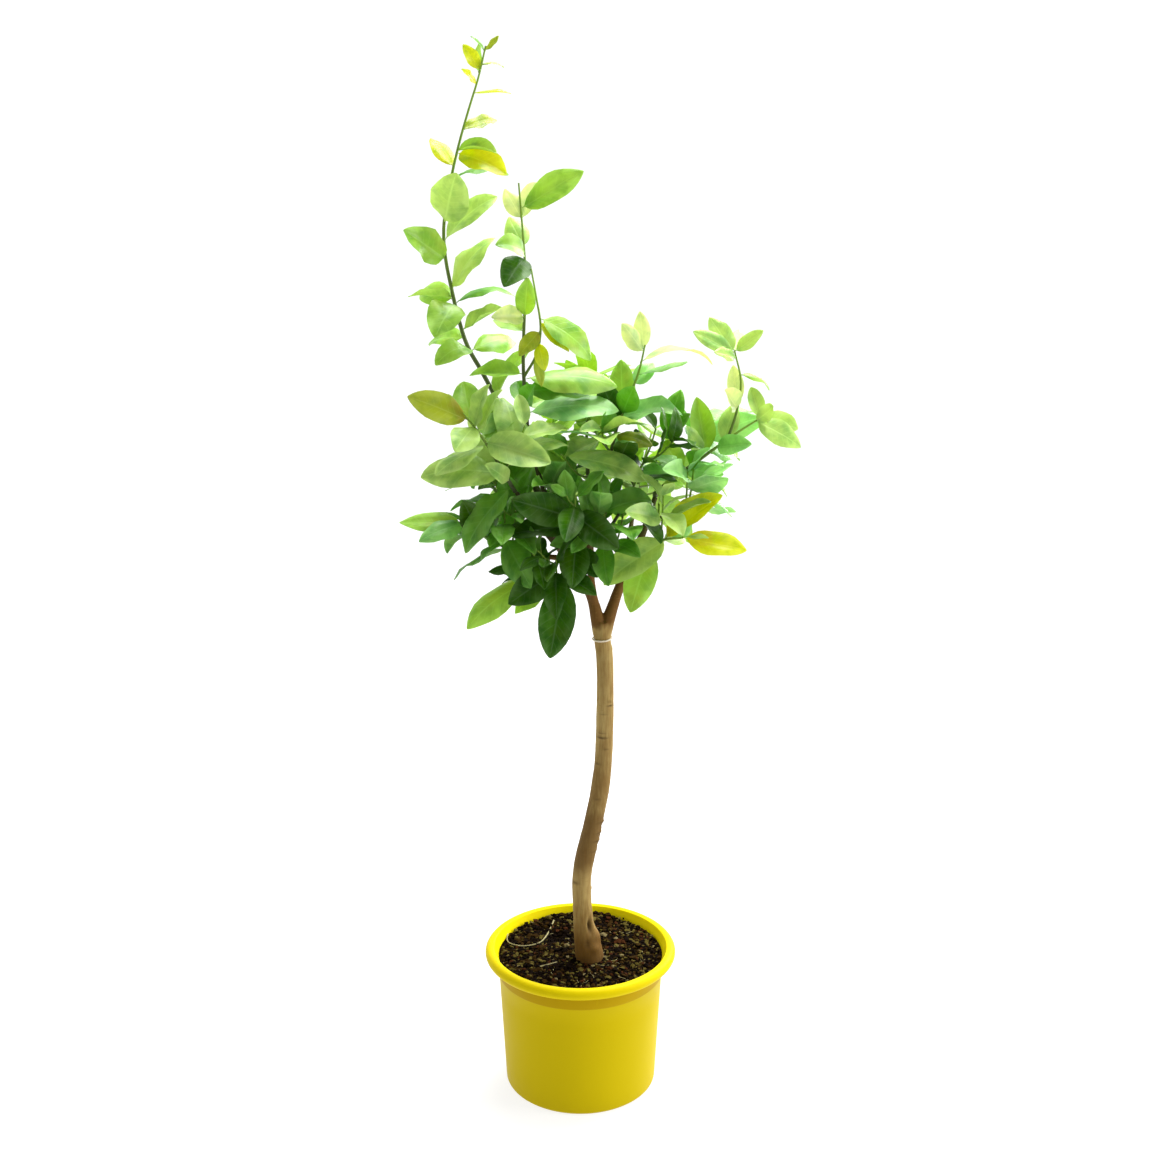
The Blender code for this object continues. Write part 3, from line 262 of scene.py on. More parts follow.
MASSES = (
    Mass("tall_shoot", "left", Twig(
        ((-79, 10, 857), (-90, 12, 881), (-108, 14, 923), (-129, 14, 959),
         (-142, 12, 994), (-157, 6, 1071), (-158, 3, 1111), (-148, 0, 1164),
         (-132, -4, 1221), (-115, -8, 1270), (-105, -10, 1307)),
        marked=((0.33, -39, -45, -12, 50, 110), (0.33, 54, 45, 7, 38, 70), (0.36, -49, 50, -10, 42, 60),
                (0.38, 49, -30, 30, 38, 30), (0.44, -20, -55, -34, 70, 60, 0.6), (0.44, 73, 15, 13, 5, 80),
                (0.45, -48, 45, 8, 60, 50), (0.47, 51, 10, 64, 26, 70), (0.54, -42, -45, 36, 70, 30, 0.55),
                (0.58, 62, 15, 51, 22, 50), (0.62, 19, -45, 55, 75, 30, 0.6), (0.71, 69, 10, 10, 3, 75),
                (0.74, -28, 30, 36, 26, 30), (0.77, 60, -25, -23, 60, 55), (0.82, 39, 25, 14, 38, 40),
                (0.9, 43, 5, 2, 8, 30), (0.92, -15, -18, 15, 50, 30), (0.95, -18, -8, 27, 70, 20, 0.5),
                (0.96, 26, 6, -1, 25, 60, 0.3), (0.99, -15, 0, 16, 20, 20, 0.3),
                (0.99, 16, 0, 16, 40, 10, 0.4)),
        tints="mmmlmgmlmllgyyoyyyogo", leaves=4), seed=42, shoots=0),
    Mass("mid_shoot", "left_mid", Twig(
        ((-63, -26, 899), (-66, -26, 957), (-62, -26, 1052), (-64, -26, 1090), (-69, -26, 1158)),
        marked=((0.09, 110, -4, 5, 26, 45, 0.4), (0.12, -13, 45, 27, 70, 10), (0.12, 36, 45, 16, 60, 20),
                (0.13, 10, -45, 27, 70, 10), (0.18, 76, 15, -5, 38, 50), (0.23, 112, 8, -8, 30, 45, 0.38),
                (0.25, -67, 25, -3, 36, 40), (0.42, -37, 45, 14, 50, 30), (0.48, -35, -35, 3, 70, 20, 0.53),
                (0.48, 5, -30, 45, 65, 20), (0.71, -20, -42, -36, 80, 50, 0.6),
                (0.73, -31, -35, 12, 60, 80, 0.6), (0.75, -19, 35, 35, 70, 20, 0.5),
                (0.86, -20, 15, 35, 60, 40, 0.5), (0.86, 18, 25, 43, 42, 20), (0.9, 72, -8, 43, 60, 30)),
        tints="cgmggmmlpmdmlppm"),
         twigs=(Twig(
             ((-51, -36, 963), (-44, -40, 983), (-48, -42, 1021), (-55, -44, 1063)),
             at=0.24,
             marked=((0.25, 6, -6, -37, 35, 30, 0.35), (0.36, 8, -14, -32, 75, 40, 0.5),
                     (0.46, -25, -12, -27, 70, 20, 0.5), (0.54, 34, -12, -33, 45, 30, 0.4),
                     (0.57, 61, 6, -49, 42, 70, 0.42)),
             tints="oyoym"),), shoots=0),
    Mass("left_shoot", "left_front", Twig(
        ((-104, -62, 857), (-124, -66, 888), (-143, -68, 910)),
        marked=((0.06, -59, -14, -78, 26, 50, 0.38), (0.12, -25, -30, 26, 65, 40),
                (0.2, -101, -10, -1, 42, 60), (0.56, 79, -30, -19, 70, 60), (0.58, 39, 35, 36, 34, 20),
                (0.61, 18, 40, 43, 42, 20), (0.68, 27, -20, 53, 34, 20), (0.74, -18, -45, -22, 70, 50, 0.6),
                (0.77, -12, 40, 46, 60, 40, 0.55), (0.81, -69, -15, 30, 62, 45)),
        tints="glllmlllmo", leaves=4), sprigs=2, seed=6, shades="mll", shoots=0),
    Mass("low_left_spray", "left_side", Twig(
        ((-111, -30, 745), (-140, -36, 765)),
        marked=((0.72, -11, -35, 45, 65, 30, 0.5), (0.96, -53, -35, -13, 42, 50),
                (1.0, -78, 10, -1, 36, 80)),
        tints="dcm", leaves=4), sprigs=3, seed=42, shades="dgg"),
    Mass("low_front_spray", "left_low", Twig(
        ((-36, -38, 700), (-56, -48, 707)),
        marked=((0.08, -18, -15, -101, 80, 40), (0.44, -46, -20, -42, 24, 30),
                (0.69, -95, -14, -65, 20, 50, 0.38), (0.87, -57, 12, -62, 22, 30, 0.38),
                (0.91, -45, -12, -31, 70, 50)),
        tints="dmmgg", leaves=2), sprigs=2, seed=43, shades="dd"),
    Mass("front_spray", "front", Twig(
        ((-5, -58, 760), (-8, -68, 785), (-4, -74, 806)),
        marked=((0.1, 24, -35, -32, 70, 30, 0.5), (0.25, -4, -40, -53, 80, 30, 0.55),
                (0.44, -87, -14, -7, 36, 40), (0.61, -73, -20, 25, 75, 40, 0.55),
                (0.67, 52, -35, -34, 75, 40, 0.55), (0.82, -11, -50, -33, 75, 40, 0.55),
                (0.82, 72, -10, -48, 38, 40)),
        tints="ddddddg", leaves=3), sprigs=3, seed=6, shades="dg"),
    Mass("upper_shoot", "centre", Twig(
        ((32, -10, 824), (44, -4, 873), (60, 0, 913), (73, 4, 947), (78, 6, 972)),
        marked=((0.28, 38, 40, -2, 42, 50), (0.36, 44, -30, -9, 38, 60), (0.38, -13, -35, 33, 70, 20, 0.55),
                (0.45, -22, -15, 52, 70, 20), (0.47, 77, -10, 10, 34, 60), (0.51, 12, -40, 37, 70, 20, 0.5),
                (0.53, -3, 20, 61, 70, 10), (0.72, 17, 30, 25, 65, 20, 0.5), (0.79, 61, 14, 15, 5, 20, 0.3),
                (0.88, 90, 10, 1, 8, 80, 0.32), (0.95, -26, -12, 35, 52, 20), (0.97, -5, 12, 44, 60, 20)),
        tints="cogdcgmccppp", leaves=3), twigs=(Twig(
            ((4, -30, 818), (-22, -44, 849)), at=0.06,
            marked=((0.8, -73, -10, 4, 32, 40), (0.9, -16, 35, 25, 50, 40),
                    (0.95, 100, -10, -28, 28, 50, 0.4)),
            tints="mgl", leaves=3),), sprigs=3, seed=39, shades="mlc", shoots=0),
    Mass("right_shoot", "right", Twig(
        ((113, 0, 811), (172, -8, 857), (198, -12, 876), (221, -16, 891)),
        marked=((0.27, -58, -8, 2, 40, 40), (0.29, -26, 30, 34, 65, 30), (0.3, 45, -25, -1, 60, 50),
                (0.34, 10, -35, 25, 60, 20, 0.5), (0.46, -24, -25, 37, 50, 20), (0.5, -13, 10, 68, 50, 30),
                (0.58, 39, -35, 10, 70, 50, 0.5), (0.64, 15, 20, 46, 70, 20), (0.92, 54, -15, -29, 55, 40),
                (0.96, -10, 20, 35, 65, 10, 0.5), (0.99, 44, 15, -18, 70, 50, 0.5)),
        tints="cmcglmcllll", leaves=3),
         twigs=(Twig(((93, 8, 835), (103, 10, 864)), at=0.05,
                     marked=((0.92, 29, -25, 35, 60, 40), (0.96, 20, 15, 57, 65, 30)),
                     tints="gg", leaves=3),
                Twig(((191, -6, 908), (191, -4, 943), (184, -4, 965)), at=0.68,
                     marked=((0.36, -18, -35, 27, 65, 20, 0.55), (0.4, -5, 15, 46, 58, 10),
                             (0.73, 41, 20, -19, 22, 80, 0.36), (0.93, -28, -28, 10, 60, 40),
                             (0.98, -51, -10, 27, 48, 30), (1.0, -34, 12, 39, 60, 20),
                             (1.0, 6, 28, 29, 70, 10, 0.5), (1.0, 32, -10, 26, 55, 20)),
                     tints="ppmlllpl")),
         sprigs=2, seed=28, shades="gcl", shoots=0),
    Mass("low_right_spray", "right_low", Twig(
        ((96, -42, 745), (110, -46, 746), (123, -50, 749)),
        marked=((0.2, -26, -20, -80, 50, 40), (0.55, 68, 5, 56, 30, 30), (0.64, -80, -25, -49, 50, 45),
                (0.73, 24, 30, 23, 60, 20, 0.55), (1.0, 77, -10, -12, 52, 30)),
        tints="mylcy", leaves=2), sprigs=2, seed=5, shades="ml", shoots=0),
    Mass("inner_left_spray", "inner_left", Twig(
        ((-90, -18, 792), (-112, -20, 826)), leaves=6), sprigs=4, seed=69, shades="ddg"),
    Mass("inner_front_spray", "inner_front", Twig(
        ((34, -44, 752), (28, -52, 792)), leaves=6), sprigs=4, seed=9, shades="dgg"),
    Mass("inner_right_spray", "inner_right", Twig(
        ((58, -34, 794), (76, -36, 840)), leaves=6),
         sprigs=4, seed=8, shades="ggd", shoots=0),
    Mass("right_mid_spray", "right_mid", Twig(
        ((128, -26, 784), (152, -32, 800)), leaves=4),
         sprigs=2, seed=7, shades="ggc", shoots=0),
    Mass("back_left_spray", "left_back", Twig(
        ((-58, 80, 799), (-82, 100, 854)), leaves=8), sprigs=5, seed=28, shades="gmm"),
    Mass("back_right_spray", "right_back", Twig(
        ((76, 84, 799), (92, 104, 856)), leaves=8), sprigs=5, seed=6, shades="gmm", shoots=0),
    Mass("back_spray", "middle_back", Twig(
        ((8, 56, 854), (16, 62, 909)), leaves=8), sprigs=5, seed=29, shades="gmm"),
)

# Shader nodes.
class Wire:
    """A value or a colour that one shader node gives to the next, with arithmetic for values."""

    def __init__(self, shader: "Shader", socket: NodeSocket) -> None:
        """Keeps an output socket and the material that it belongs to."""
        self.shader = shader
        self.socket = socket

    def output(self, name: str) -> "Wire":
        """Another output of the same node."""
        return Wire(self.shader, self.socket.node.outputs[name])

    def __add__(self, other: "Wire | float") -> "Wire":
        """The sum."""
        return self.shader.math("ADD", self, other)

    def __sub__(self, other: "Wire | float") -> "Wire":
        """The difference."""
        return self.shader.math("SUBTRACT", self, other)

    def __rsub__(self, other: float) -> "Wire":
        """A number less this value."""
        return self.shader.math("SUBTRACT", other, self)

    def __mul__(self, other: "Wire | float") -> "Wire":
        """The product."""
        return self.shader.math("MULTIPLY", self, other)

    def __abs__(self) -> "Wire":
        """The size of this value, without its sign."""
        return self.shader.math("ABSOLUTE", self)

    __radd__ = __add__
    __rmul__ = __mul__


class Shader:
    """The nodes of one material."""

    def __init__(self, name: str) -> None:
        """Starts an empty material.

        Args:
            name: The material's name.
        """
        self.material = bpy.data.materials.new(name)
        self.material.use_nodes = True
        self.tree = self.material.node_tree
        self.tree.nodes.clear()

    def add(self, kind: str, settings: dict[str, object] | None = None,
            sockets: dict[str | int, object] | None = None, output: str | int = 0) -> Wire:
        """Adds a node.

        Args:
            kind: The node's type.
            settings: Its own settings, which are set first.
            sockets: The value or wire of each input, by name or number.
            output: Which output the wire leaves from.

        Returns:
            The wire.
        """
        node = self.tree.nodes.new(kind)
        for name, value in (settings or {}).items():
            setattr(node, name, value)
        for name, value in (sockets or {}).items():
            if isinstance(value, Wire):
                self.tree.links.new(value.socket, node.inputs[name])
            else:
                node.inputs[name].default_value = value
        return Wire(self, node.outputs[output])

    def math(self, operation: str, *values: "Wire | float") -> Wire:
        """A Math node on one or two values."""
        return self.add("ShaderNodeMath", {"operation": operation}, dict(enumerate(values)))

    def place(self, stretch: Sequence[float] = (1, 1, 1)) -> Wire:
        """The place on the piece in metres, stretched along each axis."""
        spot = self.add("ShaderNodeTexCoord", output="Object")
        return self.add("ShaderNodeVectorMath", {"operation": "MULTIPLY"}, {0: spot, 1: tuple(stretch)})

    def split(self, vector: Wire) -> Wire:
        """The X of a vector, with its other parts as outputs Y and Z."""
        return self.add("ShaderNodeSeparateXYZ", sockets={"Vector": vector})

    def map_spot(self) -> Wire:
        """The place on the piece's map, split as X with Y as another output."""
        return self.split(self.add("ShaderNodeTexCoord", output="UV"))

    def carried(self, name: str) -> Wire:
        """The number that each point of the piece carries under a name."""
        return self.add("ShaderNodeAttribute", {"attribute_name": name}, output="Fac")

    def noise(self, scale: float, detail: float, roughness: float = 0.5,
              stretch: Sequence[float] = (1, 1, 1)) -> Wire:
        """Smooth noise of about 0 to 1 over the piece, stretched along each axis."""
        return self.add("ShaderNodeTexNoise", sockets={
            "Vector": self.place(stretch), "Scale": scale, "Detail": detail, "Roughness": roughness})

    def step(self, value: Wire, low: float, high: float) -> Wire:
        """A smooth step from 0 to 1 as a value goes from low to high."""
        return self.add("ShaderNodeMapRange", {"interpolation_type": "SMOOTHSTEP"},
                        {"Value": value, "From Min": low, "From Max": high})

    def mix(self, factor: Wire, first: "Wire | Colour", second: "Wire | Colour") -> Wire:
        """A colour between two.

        Args:
            factor: The share of the second.
            first: The first.
            second: The second.

        Returns:
            The mixed colour.
        """
        pair = [c if isinstance(c, Wire) else (*c, 1.0) for c in (first, second)]
        return self.add("ShaderNodeMix", {"data_type": "RGBA", "clamp_factor": True},
                        {0: factor, 6: pair[0], 7: pair[1]}, 2)

    def bump(self, height: Wire, strength: float, distance: float) -> Wire:
        """A normal with the relief of a height."""
        return self.add("ShaderNodeBump", sockets={
            "Height": height, "Strength": strength, "Distance": distance})

    def principled(self, **sockets: object) -> Wire:
        """A Principled shader, with spaces in its sockets' names written as underscores."""
        return self.add("ShaderNodeBsdfPrincipled",
                        sockets={name.replace("_", " "): value for name, value in sockets.items()})

    def surface(self, shade: Wire) -> Material:
        """Makes a shader the material's surface."""
        self.tree.links.new(shade.socket, self.tree.nodes.new("ShaderNodeOutputMaterial").inputs["Surface"])
        return self.material

    def finish(self, **sockets: object) -> Material:
        """Makes a Principled shader the material's surface."""
        return self.surface(self.principled(**sockets))


@dataclass(frozen=True)
class Zone:
    """A colour over a stretch of height: how strong it is, and where it fades in and out."""

    colour: Colour
    strength: float
    start: Span | None = None
    end: Span | None = None

    def over(self, colour: Wire, height: Wire) -> Wire:
        """Lays the zone over a colour.

        Args:
            colour: The colour.
            height: The height on the piece.

        Returns:
            The colour with the zone in it.
        """
        shader = height.shader
        fades = [shader.step(height, *self.start)] if self.start else []
        fades += [1 - shader.step(height, *self.end)] if self.end else []
        return shader.mix(math.prod(fades[1:], start=fades[0]) * self.strength, colour, self.colour)


@dataclass(frozen=True)
class BarkFinish:
    """Smooth khaki bark with long fissures, stained round its scars, redder at the fork, greener above it.

    The band, the fork's zone and the foot's end raggedly, by so many metres from patch to patch.
    """

    shade: Colour = (0.225, 0.135, 0.036)
    light: Colour = (0.405, 0.292, 0.104)
    stain: Colour = (0.035, 0.018, 0.006)
    brown: Zone = Zone((0.11, 0.052, 0.009), 0.3, (0.262, 0.305), (0.4, 0.5))
    band: Zone = Zone((0.11, 0.052, 0.009), 0.7, (0.3, 0.32), (0.366, 0.39))
    fork: Zone = Zone((0.112, 0.046, 0.006), 0.92, (0.62, 0.632))
    twig: Zone = Zone((0.06, 0.068, 0.022), 0.9, (0.69, 0.77))
    foot: Zone = Zone((0.15, 0.072, 0.014), 0.92, None, (0.202, 0.25))
    ragged: float = 0.05
    foot_ragged: float = 0.03
    fissures: Span = (0.34, 0.66)
    lenticels: Span = (0.62, 0.7)
    speckles: float = 0.35
    roughness: float = 0.72

    def material(self) -> Material:
        """The bark of the trunk and boughs.

        Returns:
            The material.
        """
        shader = Shader("bark")
        height = shader.split(shader.place()).output("Z")
        streaks = shader.noise(scale=420, detail=5, roughness=0.6, stretch=(1, 1, 0.09))
        patches = shader.noise(scale=34, detail=3, roughness=0.55, stretch=(1, 1, 0.5))
        mottle = shader.step(streaks * 0.4 + patches * 0.6, *self.fissures)
        colour = shader.mix(mottle, self.shade, self.light)
        ragged = height + (patches - 0.5) * self.ragged
        for zone, at in ((self.brown, height), (self.band, ragged), (self.fork, ragged), (self.twig, height),
                         (self.foot, height + (patches - 0.5) * self.foot_ragged)):
            colour = zone.over(colour, at)
        lenticels = shader.step(shader.noise(scale=170, detail=2, stretch=(1, 1, 4.5)), *self.lenticels)
        colour = shader.mix(shader.carried("stain"), colour, self.stain)
        colour = shader.mix(lenticels * self.speckles, colour, self.shade)
        relief = streaks * 0.7 + shader.noise(scale=900, detail=3, roughness=0.6) * 0.3 - lenticels * 0.25
        return shader.finish(
            Base_Color=colour, Roughness=self.roughness + (streaks - 0.5) * 0.2, Specular_IOR_Level=0.15,
            Normal=shader.bump(relief, 0.45, 0.0005))


@dataclass(frozen=True)
class TwigFinish:
    """Grey-green wood that turns to the fresh green of a young shoot."""

    wood: Colour = (0.07, 0.085, 0.028)
    young: Colour = (0.2, 0.34, 0.035)
    ageing: Span = (0.15, 0.95)
    roughness: float = 0.5

    def material(self) -> Material:
        """The skin of the twigs, from the age that each point carries.

        Returns:
            The material.
        """
        shader = Shader("twig_skin")
        youth = shader.carried("youth")
        speckle = shader.noise(scale=500, detail=3, roughness=0.6, stretch=(1, 1, 0.3))
        fresh = shader.step(youth + (speckle - 0.5) * 0.3, *self.ageing)
        colour = shader.mix(fresh, self.wood, self.young)
        return shader.finish(
            Base_Color=colour, Roughness=self.roughness, Specular_IOR_Level=0.25,
            Normal=shader.bump(speckle, 0.3, 0.0003))


@dataclass(frozen=True)
class LeafFinish:
    """One tint of leaf: the colours of its upper and under face, and how much light comes through.

    Spans are steps, given low and high, or high and low for a falling one. Across is 0 at the midrib and 1 at
    the margin. Painted light lightens the margin and the tip, and pale patches are a painted sheen.
    """

    tint: Tint
    upper: Colour
    under: Colour
    through: Colour
    passing: float = 0.35
    roughness: float = 0.32
    under_roughness: float = 0.62
    shine: float = 0.42
    veins: int = 9
    vein_slant: float = 1.6
    vein_lift: float = 0.45
    side_vein: float = 0.5
    rib_across: Span = (0.015, 0.085)
    vein_wave: Span = (0.8, 0.98)
    vein_across: Span = (0.75, 1.0)
    clouds: Span = (0.3, 0.62)
    deeper: Colour = (0.4, 0.62, 0.6)
    whiter: float = 0.1
    brighter: float = 0.35
    # Painted light: the margin and the tip are lightened as if lit through from behind.
    painted_edge_light: float = 0.55
    painted_edge_light_at: Span = (0.55, 1.05)
    # Painted sheen: broad pale patches that stand in for a highlight.
    painted_sheen: float = 0.3
    painted_sheen_colour: Colour = (0.86, 0.92, 0.5)
    painted_sheen_share: float = 0.55
    painted_sheen_at: Span = (0.52, 0.72)
    bronzed: float = 0.0
    bronze: Colour = (0.46, 0.27, 0.03)
    bronzed_at: Span = (0.47, 0.33)

    def material(self, under: bool) -> Material:
        """The finish of one face.

        Args:
            under: Whether it is the under face, paler and duller.

        Returns:
            The material.
        """
        name = f"leaf_{self.tint.name.lower()}_{'under' if under else 'upper'}"
        shader = Shader(name)
        spot = shader.map_spot()
        across = abs(spot - 0.5) * 2
        rib = 1 - shader.step(across, *self.rib_across)
        climb = spot.output("Y") * self.veins - across * self.vein_slant
        wave = abs(shader.math("FRACT", climb) - 0.5) * 2
        side = shader.step(wave, *self.vein_wave) * (1 - shader.step(across, *self.vein_across))
        vein = shader.math("MAXIMUM", rib, side * self.side_vein)
        clouds = shader.noise(scale=55, detail=3, roughness=0.55)
        base = self.under if under else self.upper
        deeper = tuple(c * share for c, share in zip(base, self.deeper))
        # A lighter colour, for the pale veins, which are real, and for the painted light on the margin.
        lighter = tuple(c + (1 - c) * self.whiter + c * self.brighter for c in base)
        painted_sheen_mix = tuple(c + (light - c) * self.painted_sheen_share for c, light in zip(base, self.painted_sheen_colour))
        colour = shader.mix(shader.step(clouds, *self.clouds), deeper, base)
        # Painted light on the margin and the tip.
        margin = shader.step(across * 0.6 + spot.output("Y") * 0.5 + (clouds - 0.5), *self.painted_edge_light_at)
        colour = shader.mix(margin * self.painted_edge_light, colour, lighter)
        patches = shader.noise(scale=27, detail=2)
        # Painted sheen in pale patches; the bronze blotches after it are the leaf's own colour.
        colour = shader.mix(shader.step(patches, *self.painted_sheen_at) * self.painted_sheen, colour, painted_sheen_mix)
        colour = shader.mix(shader.step(patches, *self.bronzed_at) * self.bronzed, colour, self.bronze)
        colour = shader.mix(vein * self.vein_lift, colour, lighter)
        relief = shader.noise(scale=260, detail=2) * 0.35 - vein * (-1.0 if under else 1.0)
        body = shader.principled(
            Base_Color=colour, Roughness=self.under_roughness if under else self.roughness,
            Specular_IOR_Level=self.shine, Normal=shader.bump(relief, 0.35, 0.0005))
        through = shader.add("ShaderNodeBsdfTranslucent", sockets={"Color": (*self.through, 1.0)})
        shades = {0: self.passing, 1: body, 2: through}
        return shader.surface(shader.add("ShaderNodeMixShader", sockets=shades))


LEAF_FINISHES = (
    LeafFinish(Tint.DEEP, (0.042, 0.14, 0.0), (0.085, 0.2, 0.008), (0.11, 0.33, 0.0), 0.25,
               shine=0.12, painted_edge_light=0.4, painted_sheen=0.05, bronzed=0.12, bronze=(0.1, 0.08, 0.005)),
    LeafFinish(Tint.GREEN, (0.165, 0.39, 0.036), (0.225, 0.42, 0.08), (0.34, 0.7, 0.05), 0.36,
               shine=0.22, painted_sheen=0.12, bronzed=0.12, bronze=(0.18, 0.14, 0.01)),
    LeafFinish(Tint.MID, (0.33, 0.58, 0.075), (0.4, 0.58, 0.14), (0.62, 0.82, 0.13), 0.42,
               painted_sheen=0.22, bronzed=0.2),
    LeafFinish(Tint.LIGHT, (0.485, 0.69, 0.185), (0.52, 0.69, 0.24), (0.72, 0.85, 0.27), 0.42,
               painted_sheen=0.35),
    LeafFinish(Tint.COOL, (0.35, 0.66, 0.2), (0.42, 0.64, 0.26), (0.52, 0.84, 0.27), 0.4,
               painted_sheen=0.22),
    LeafFinish(Tint.PALE, (0.68, 0.76, 0.36), (0.7, 0.75, 0.4), (0.9, 0.95, 0.48), 0.48,
               bronzed=0.12),
    LeafFinish(Tint.YELLOW, (0.6, 0.65, 0.006), (0.62, 0.64, 0.05), (0.9, 0.92, 0.01), 0.46,
               painted_sheen=0.2, bronzed=0.55),
    LeafFinish(Tint.OLIVE, (0.4, 0.48, 0.02), (0.43, 0.48, 0.06), (0.6, 0.68, 0.03), 0.38,
               painted_sheen=0.2, bronzed=0.45),
)


@dataclass(frozen=True)
class PlasticFinish:
    """Soft-sheened moulded plastic with a faint unevenness, scuffed a little and dusty near its foot.

    Painted shade deepens the neck band under the rim, and painted light makes the rim paler and its inside
    palest.
    """

    colour: Colour = (0.53, 0.41, 0.0)
    worn: Colour = (0.52, 0.4, 0.002)
    # The neck colour is painted shade under the rim; the rim and inside colours are painted light.
    neck: Colour = (0.42, 0.275, 0.0)
    rim: Colour = (0.64, 0.51, 0.001)
    inside: Colour = (0.84, 0.7, 0.002)
    inside_light_radii: Span = (0.1142, 0.1148)
    neck_shade_start: Span = (0.1549, 0.1561)
    neck_shade_end: Span = (0.174, 0.176)
    rim_light_start: Span = (0.1755, 0.1765)
    dusty: Span = (0.0, 0.03)
    scuffs: Span = (0.6, 0.74)
    scuffing: float = 0.35
    dusting: float = 0.3
    roughness: float = 0.4

    def material(self) -> Material:
        """The pot's yellow plastic.

        Returns:
            The material.
        """
        shader = Shader("yellow_plastic")
        clouds = shader.noise(scale=16, detail=3)
        spot = shader.split(shader.place())
        height = spot.output("Z")
        streaks = shader.noise(scale=240, detail=4, roughness=0.7, stretch=(1, 1, 0.25))
        scuffs = shader.step(streaks, *self.scuffs)
        foot = 1 - shader.step(height + (clouds - 0.5) * 0.04, *self.dusty)
        worn = shader.math("MAXIMUM", scuffs * self.scuffing, foot * self.dusting)
        # Painted shade on the neck band under the rim.
        neck = shader.step(height, *self.neck_shade_start) * (1 - shader.step(height, *self.neck_shade_end))
        colour = shader.mix(worn, shader.mix(neck, self.colour, self.neck), self.worn)
        # Painted light on the rim, and stronger painted light on the inside of its top.
        above = shader.step(height, *self.rim_light_start)
        radius = shader.math("SQRT", spot * spot + spot.output("Y") * spot.output("Y"))
        colour = shader.mix(above, colour, self.rim)
        colour = shader.mix(above * (1 - shader.step(radius, *self.inside_light_radii)), colour, self.inside)
        waves = shader.noise(scale=60, detail=2, stretch=(1, 1, 0.4))
        return shader.finish(
            Base_Color=colour, Roughness=self.roughness + clouds * 0.1 + scuffs * 0.12,
            Specular_IOR_Level=0.04, Normal=shader.bump(waves, 0.08, 0.002))


@dataclass(frozen=True)
class SoilFinish:
    """Moist potting mix, dark with browner and greener patches."""

    dark: Colour = (0.002, 0.0008, 0.0)
    brown: Colour = (0.016, 0.007, 0.0015)
    moss: Colour = (0.02, 0.014, 0.0015)
    browner: Span = (0.42, 0.66)
    mossy: Span = (0.55, 0.75)
    mossiness: float = 0.5
    roughness: float = 0.92

    def material(self) -> Material:
        """The finish of the soil under its crumbs.

        Returns:
            The material.
        """
        shader = Shader("potting_mix")
        grains = shader.noise(scale=420, detail=5, roughness=0.65)
        patches = shader.noise(scale=30, detail=3)
        colour = shader.mix(shader.step(grains, *self.browner), self.dark, self.brown)
        colour = shader.mix(shader.step(patches, *self.mossy) * self.mossiness, colour, self.moss)
        return shader.finish(
            Base_Color=colour, Roughness=self.roughness, Specular_IOR_Level=0.03,
            Normal=shader.bump(grains, 0.9, 0.0015))


@dataclass(frozen=True)
class CrumbFinish:
    """One kind of crumb on the soil, with a fine grain."""

    name: str
    colour: Colour
    roughness: float = 0.9
    darker: float = 0.45
    speckled: Span = (0.3, 0.7)

    def material(self) -> Material:
        """The finish of this kind of crumb.

        Returns:
            The material.
        """
        shader = Shader(self.name)
        grain = shader.noise(scale=900, detail=3, roughness=0.6)
        darker = tuple(c * self.darker for c in self.colour)
        colour = shader.mix(shader.step(grain, *self.speckled), darker, self.colour)
        return shader.finish(
            Base_Color=colour, Roughness=self.roughness, Specular_IOR_Level=0.03,
            Normal=shader.bump(grain, 0.7, 0.0006))


@dataclass(frozen=True)
class TieFinish:
    """Soft cream twine with the slant of its lay."""

    colour: Colour = (0.94, 0.84, 0.68)
    shade: Colour = (0.64, 0.53, 0.39)
    strands: int = 90
    slant: float = 2
    lit: Span = (0.2, 0.7)
    roughness: float = 0.85

    def material(self) -> Material:
        """The tie's twine, with strands that run round it on a slant.

        Returns:
            The material.
        """
        shader = Shader("cream_twine")
        spot = shader.map_spot()
        lay = abs(shader.math("FRACT", spot * self.strands + spot.output("Y") * self.slant) - 0.5) * 2
        fuzz = shader.noise(scale=2200, detail=2, roughness=0.6)
        colour = shader.mix(shader.step(lay * 0.7 + fuzz * 0.3, *self.lit), self.shade, self.colour)
        return shader.finish(
            Base_Color=colour, Roughness=self.roughness, Normal=shader.bump(lay, 0.6, 0.0004))


@dataclass(frozen=True)
class FloorFinish:
    """A pale studio sweep that glows behind the tree and dims towards the front."""

    colour: Colour = (0.3, 0.3, 0.3)
    bright: Colour = (0.78, 0.78, 0.78)
    dim: Colour = (0.12, 0.12, 0.12)
    dim_to_bright: Span = (-3.4, -0.3)
    to_the_right: float = 0.3
    roughness: float = 0.9

    def material(self) -> Material:
        """The sweep's matt paper.

        Returns:
            The material.
        """
        shader = Shader("studio_paper")
        spot = shader.split(shader.place())
        lit = shader.step(spot.output("Y") + spot * self.to_the_right, *self.dim_to_bright)
        return shader.finish(
            Base_Color=(*self.colour, 1.0), Roughness=self.roughness, Specular_IOR_Level=0.2,
            Emission_Color=shader.mix(lit, self.dim, self.bright), Emission_Strength=1.0)


# Paths, as the solids' source works them out.
def metres(route: Sequence[Spot]) -> Path:
    """The points of a route in millimetres."""
    return [Vector([part / 1000 for part in point]) for point in route]


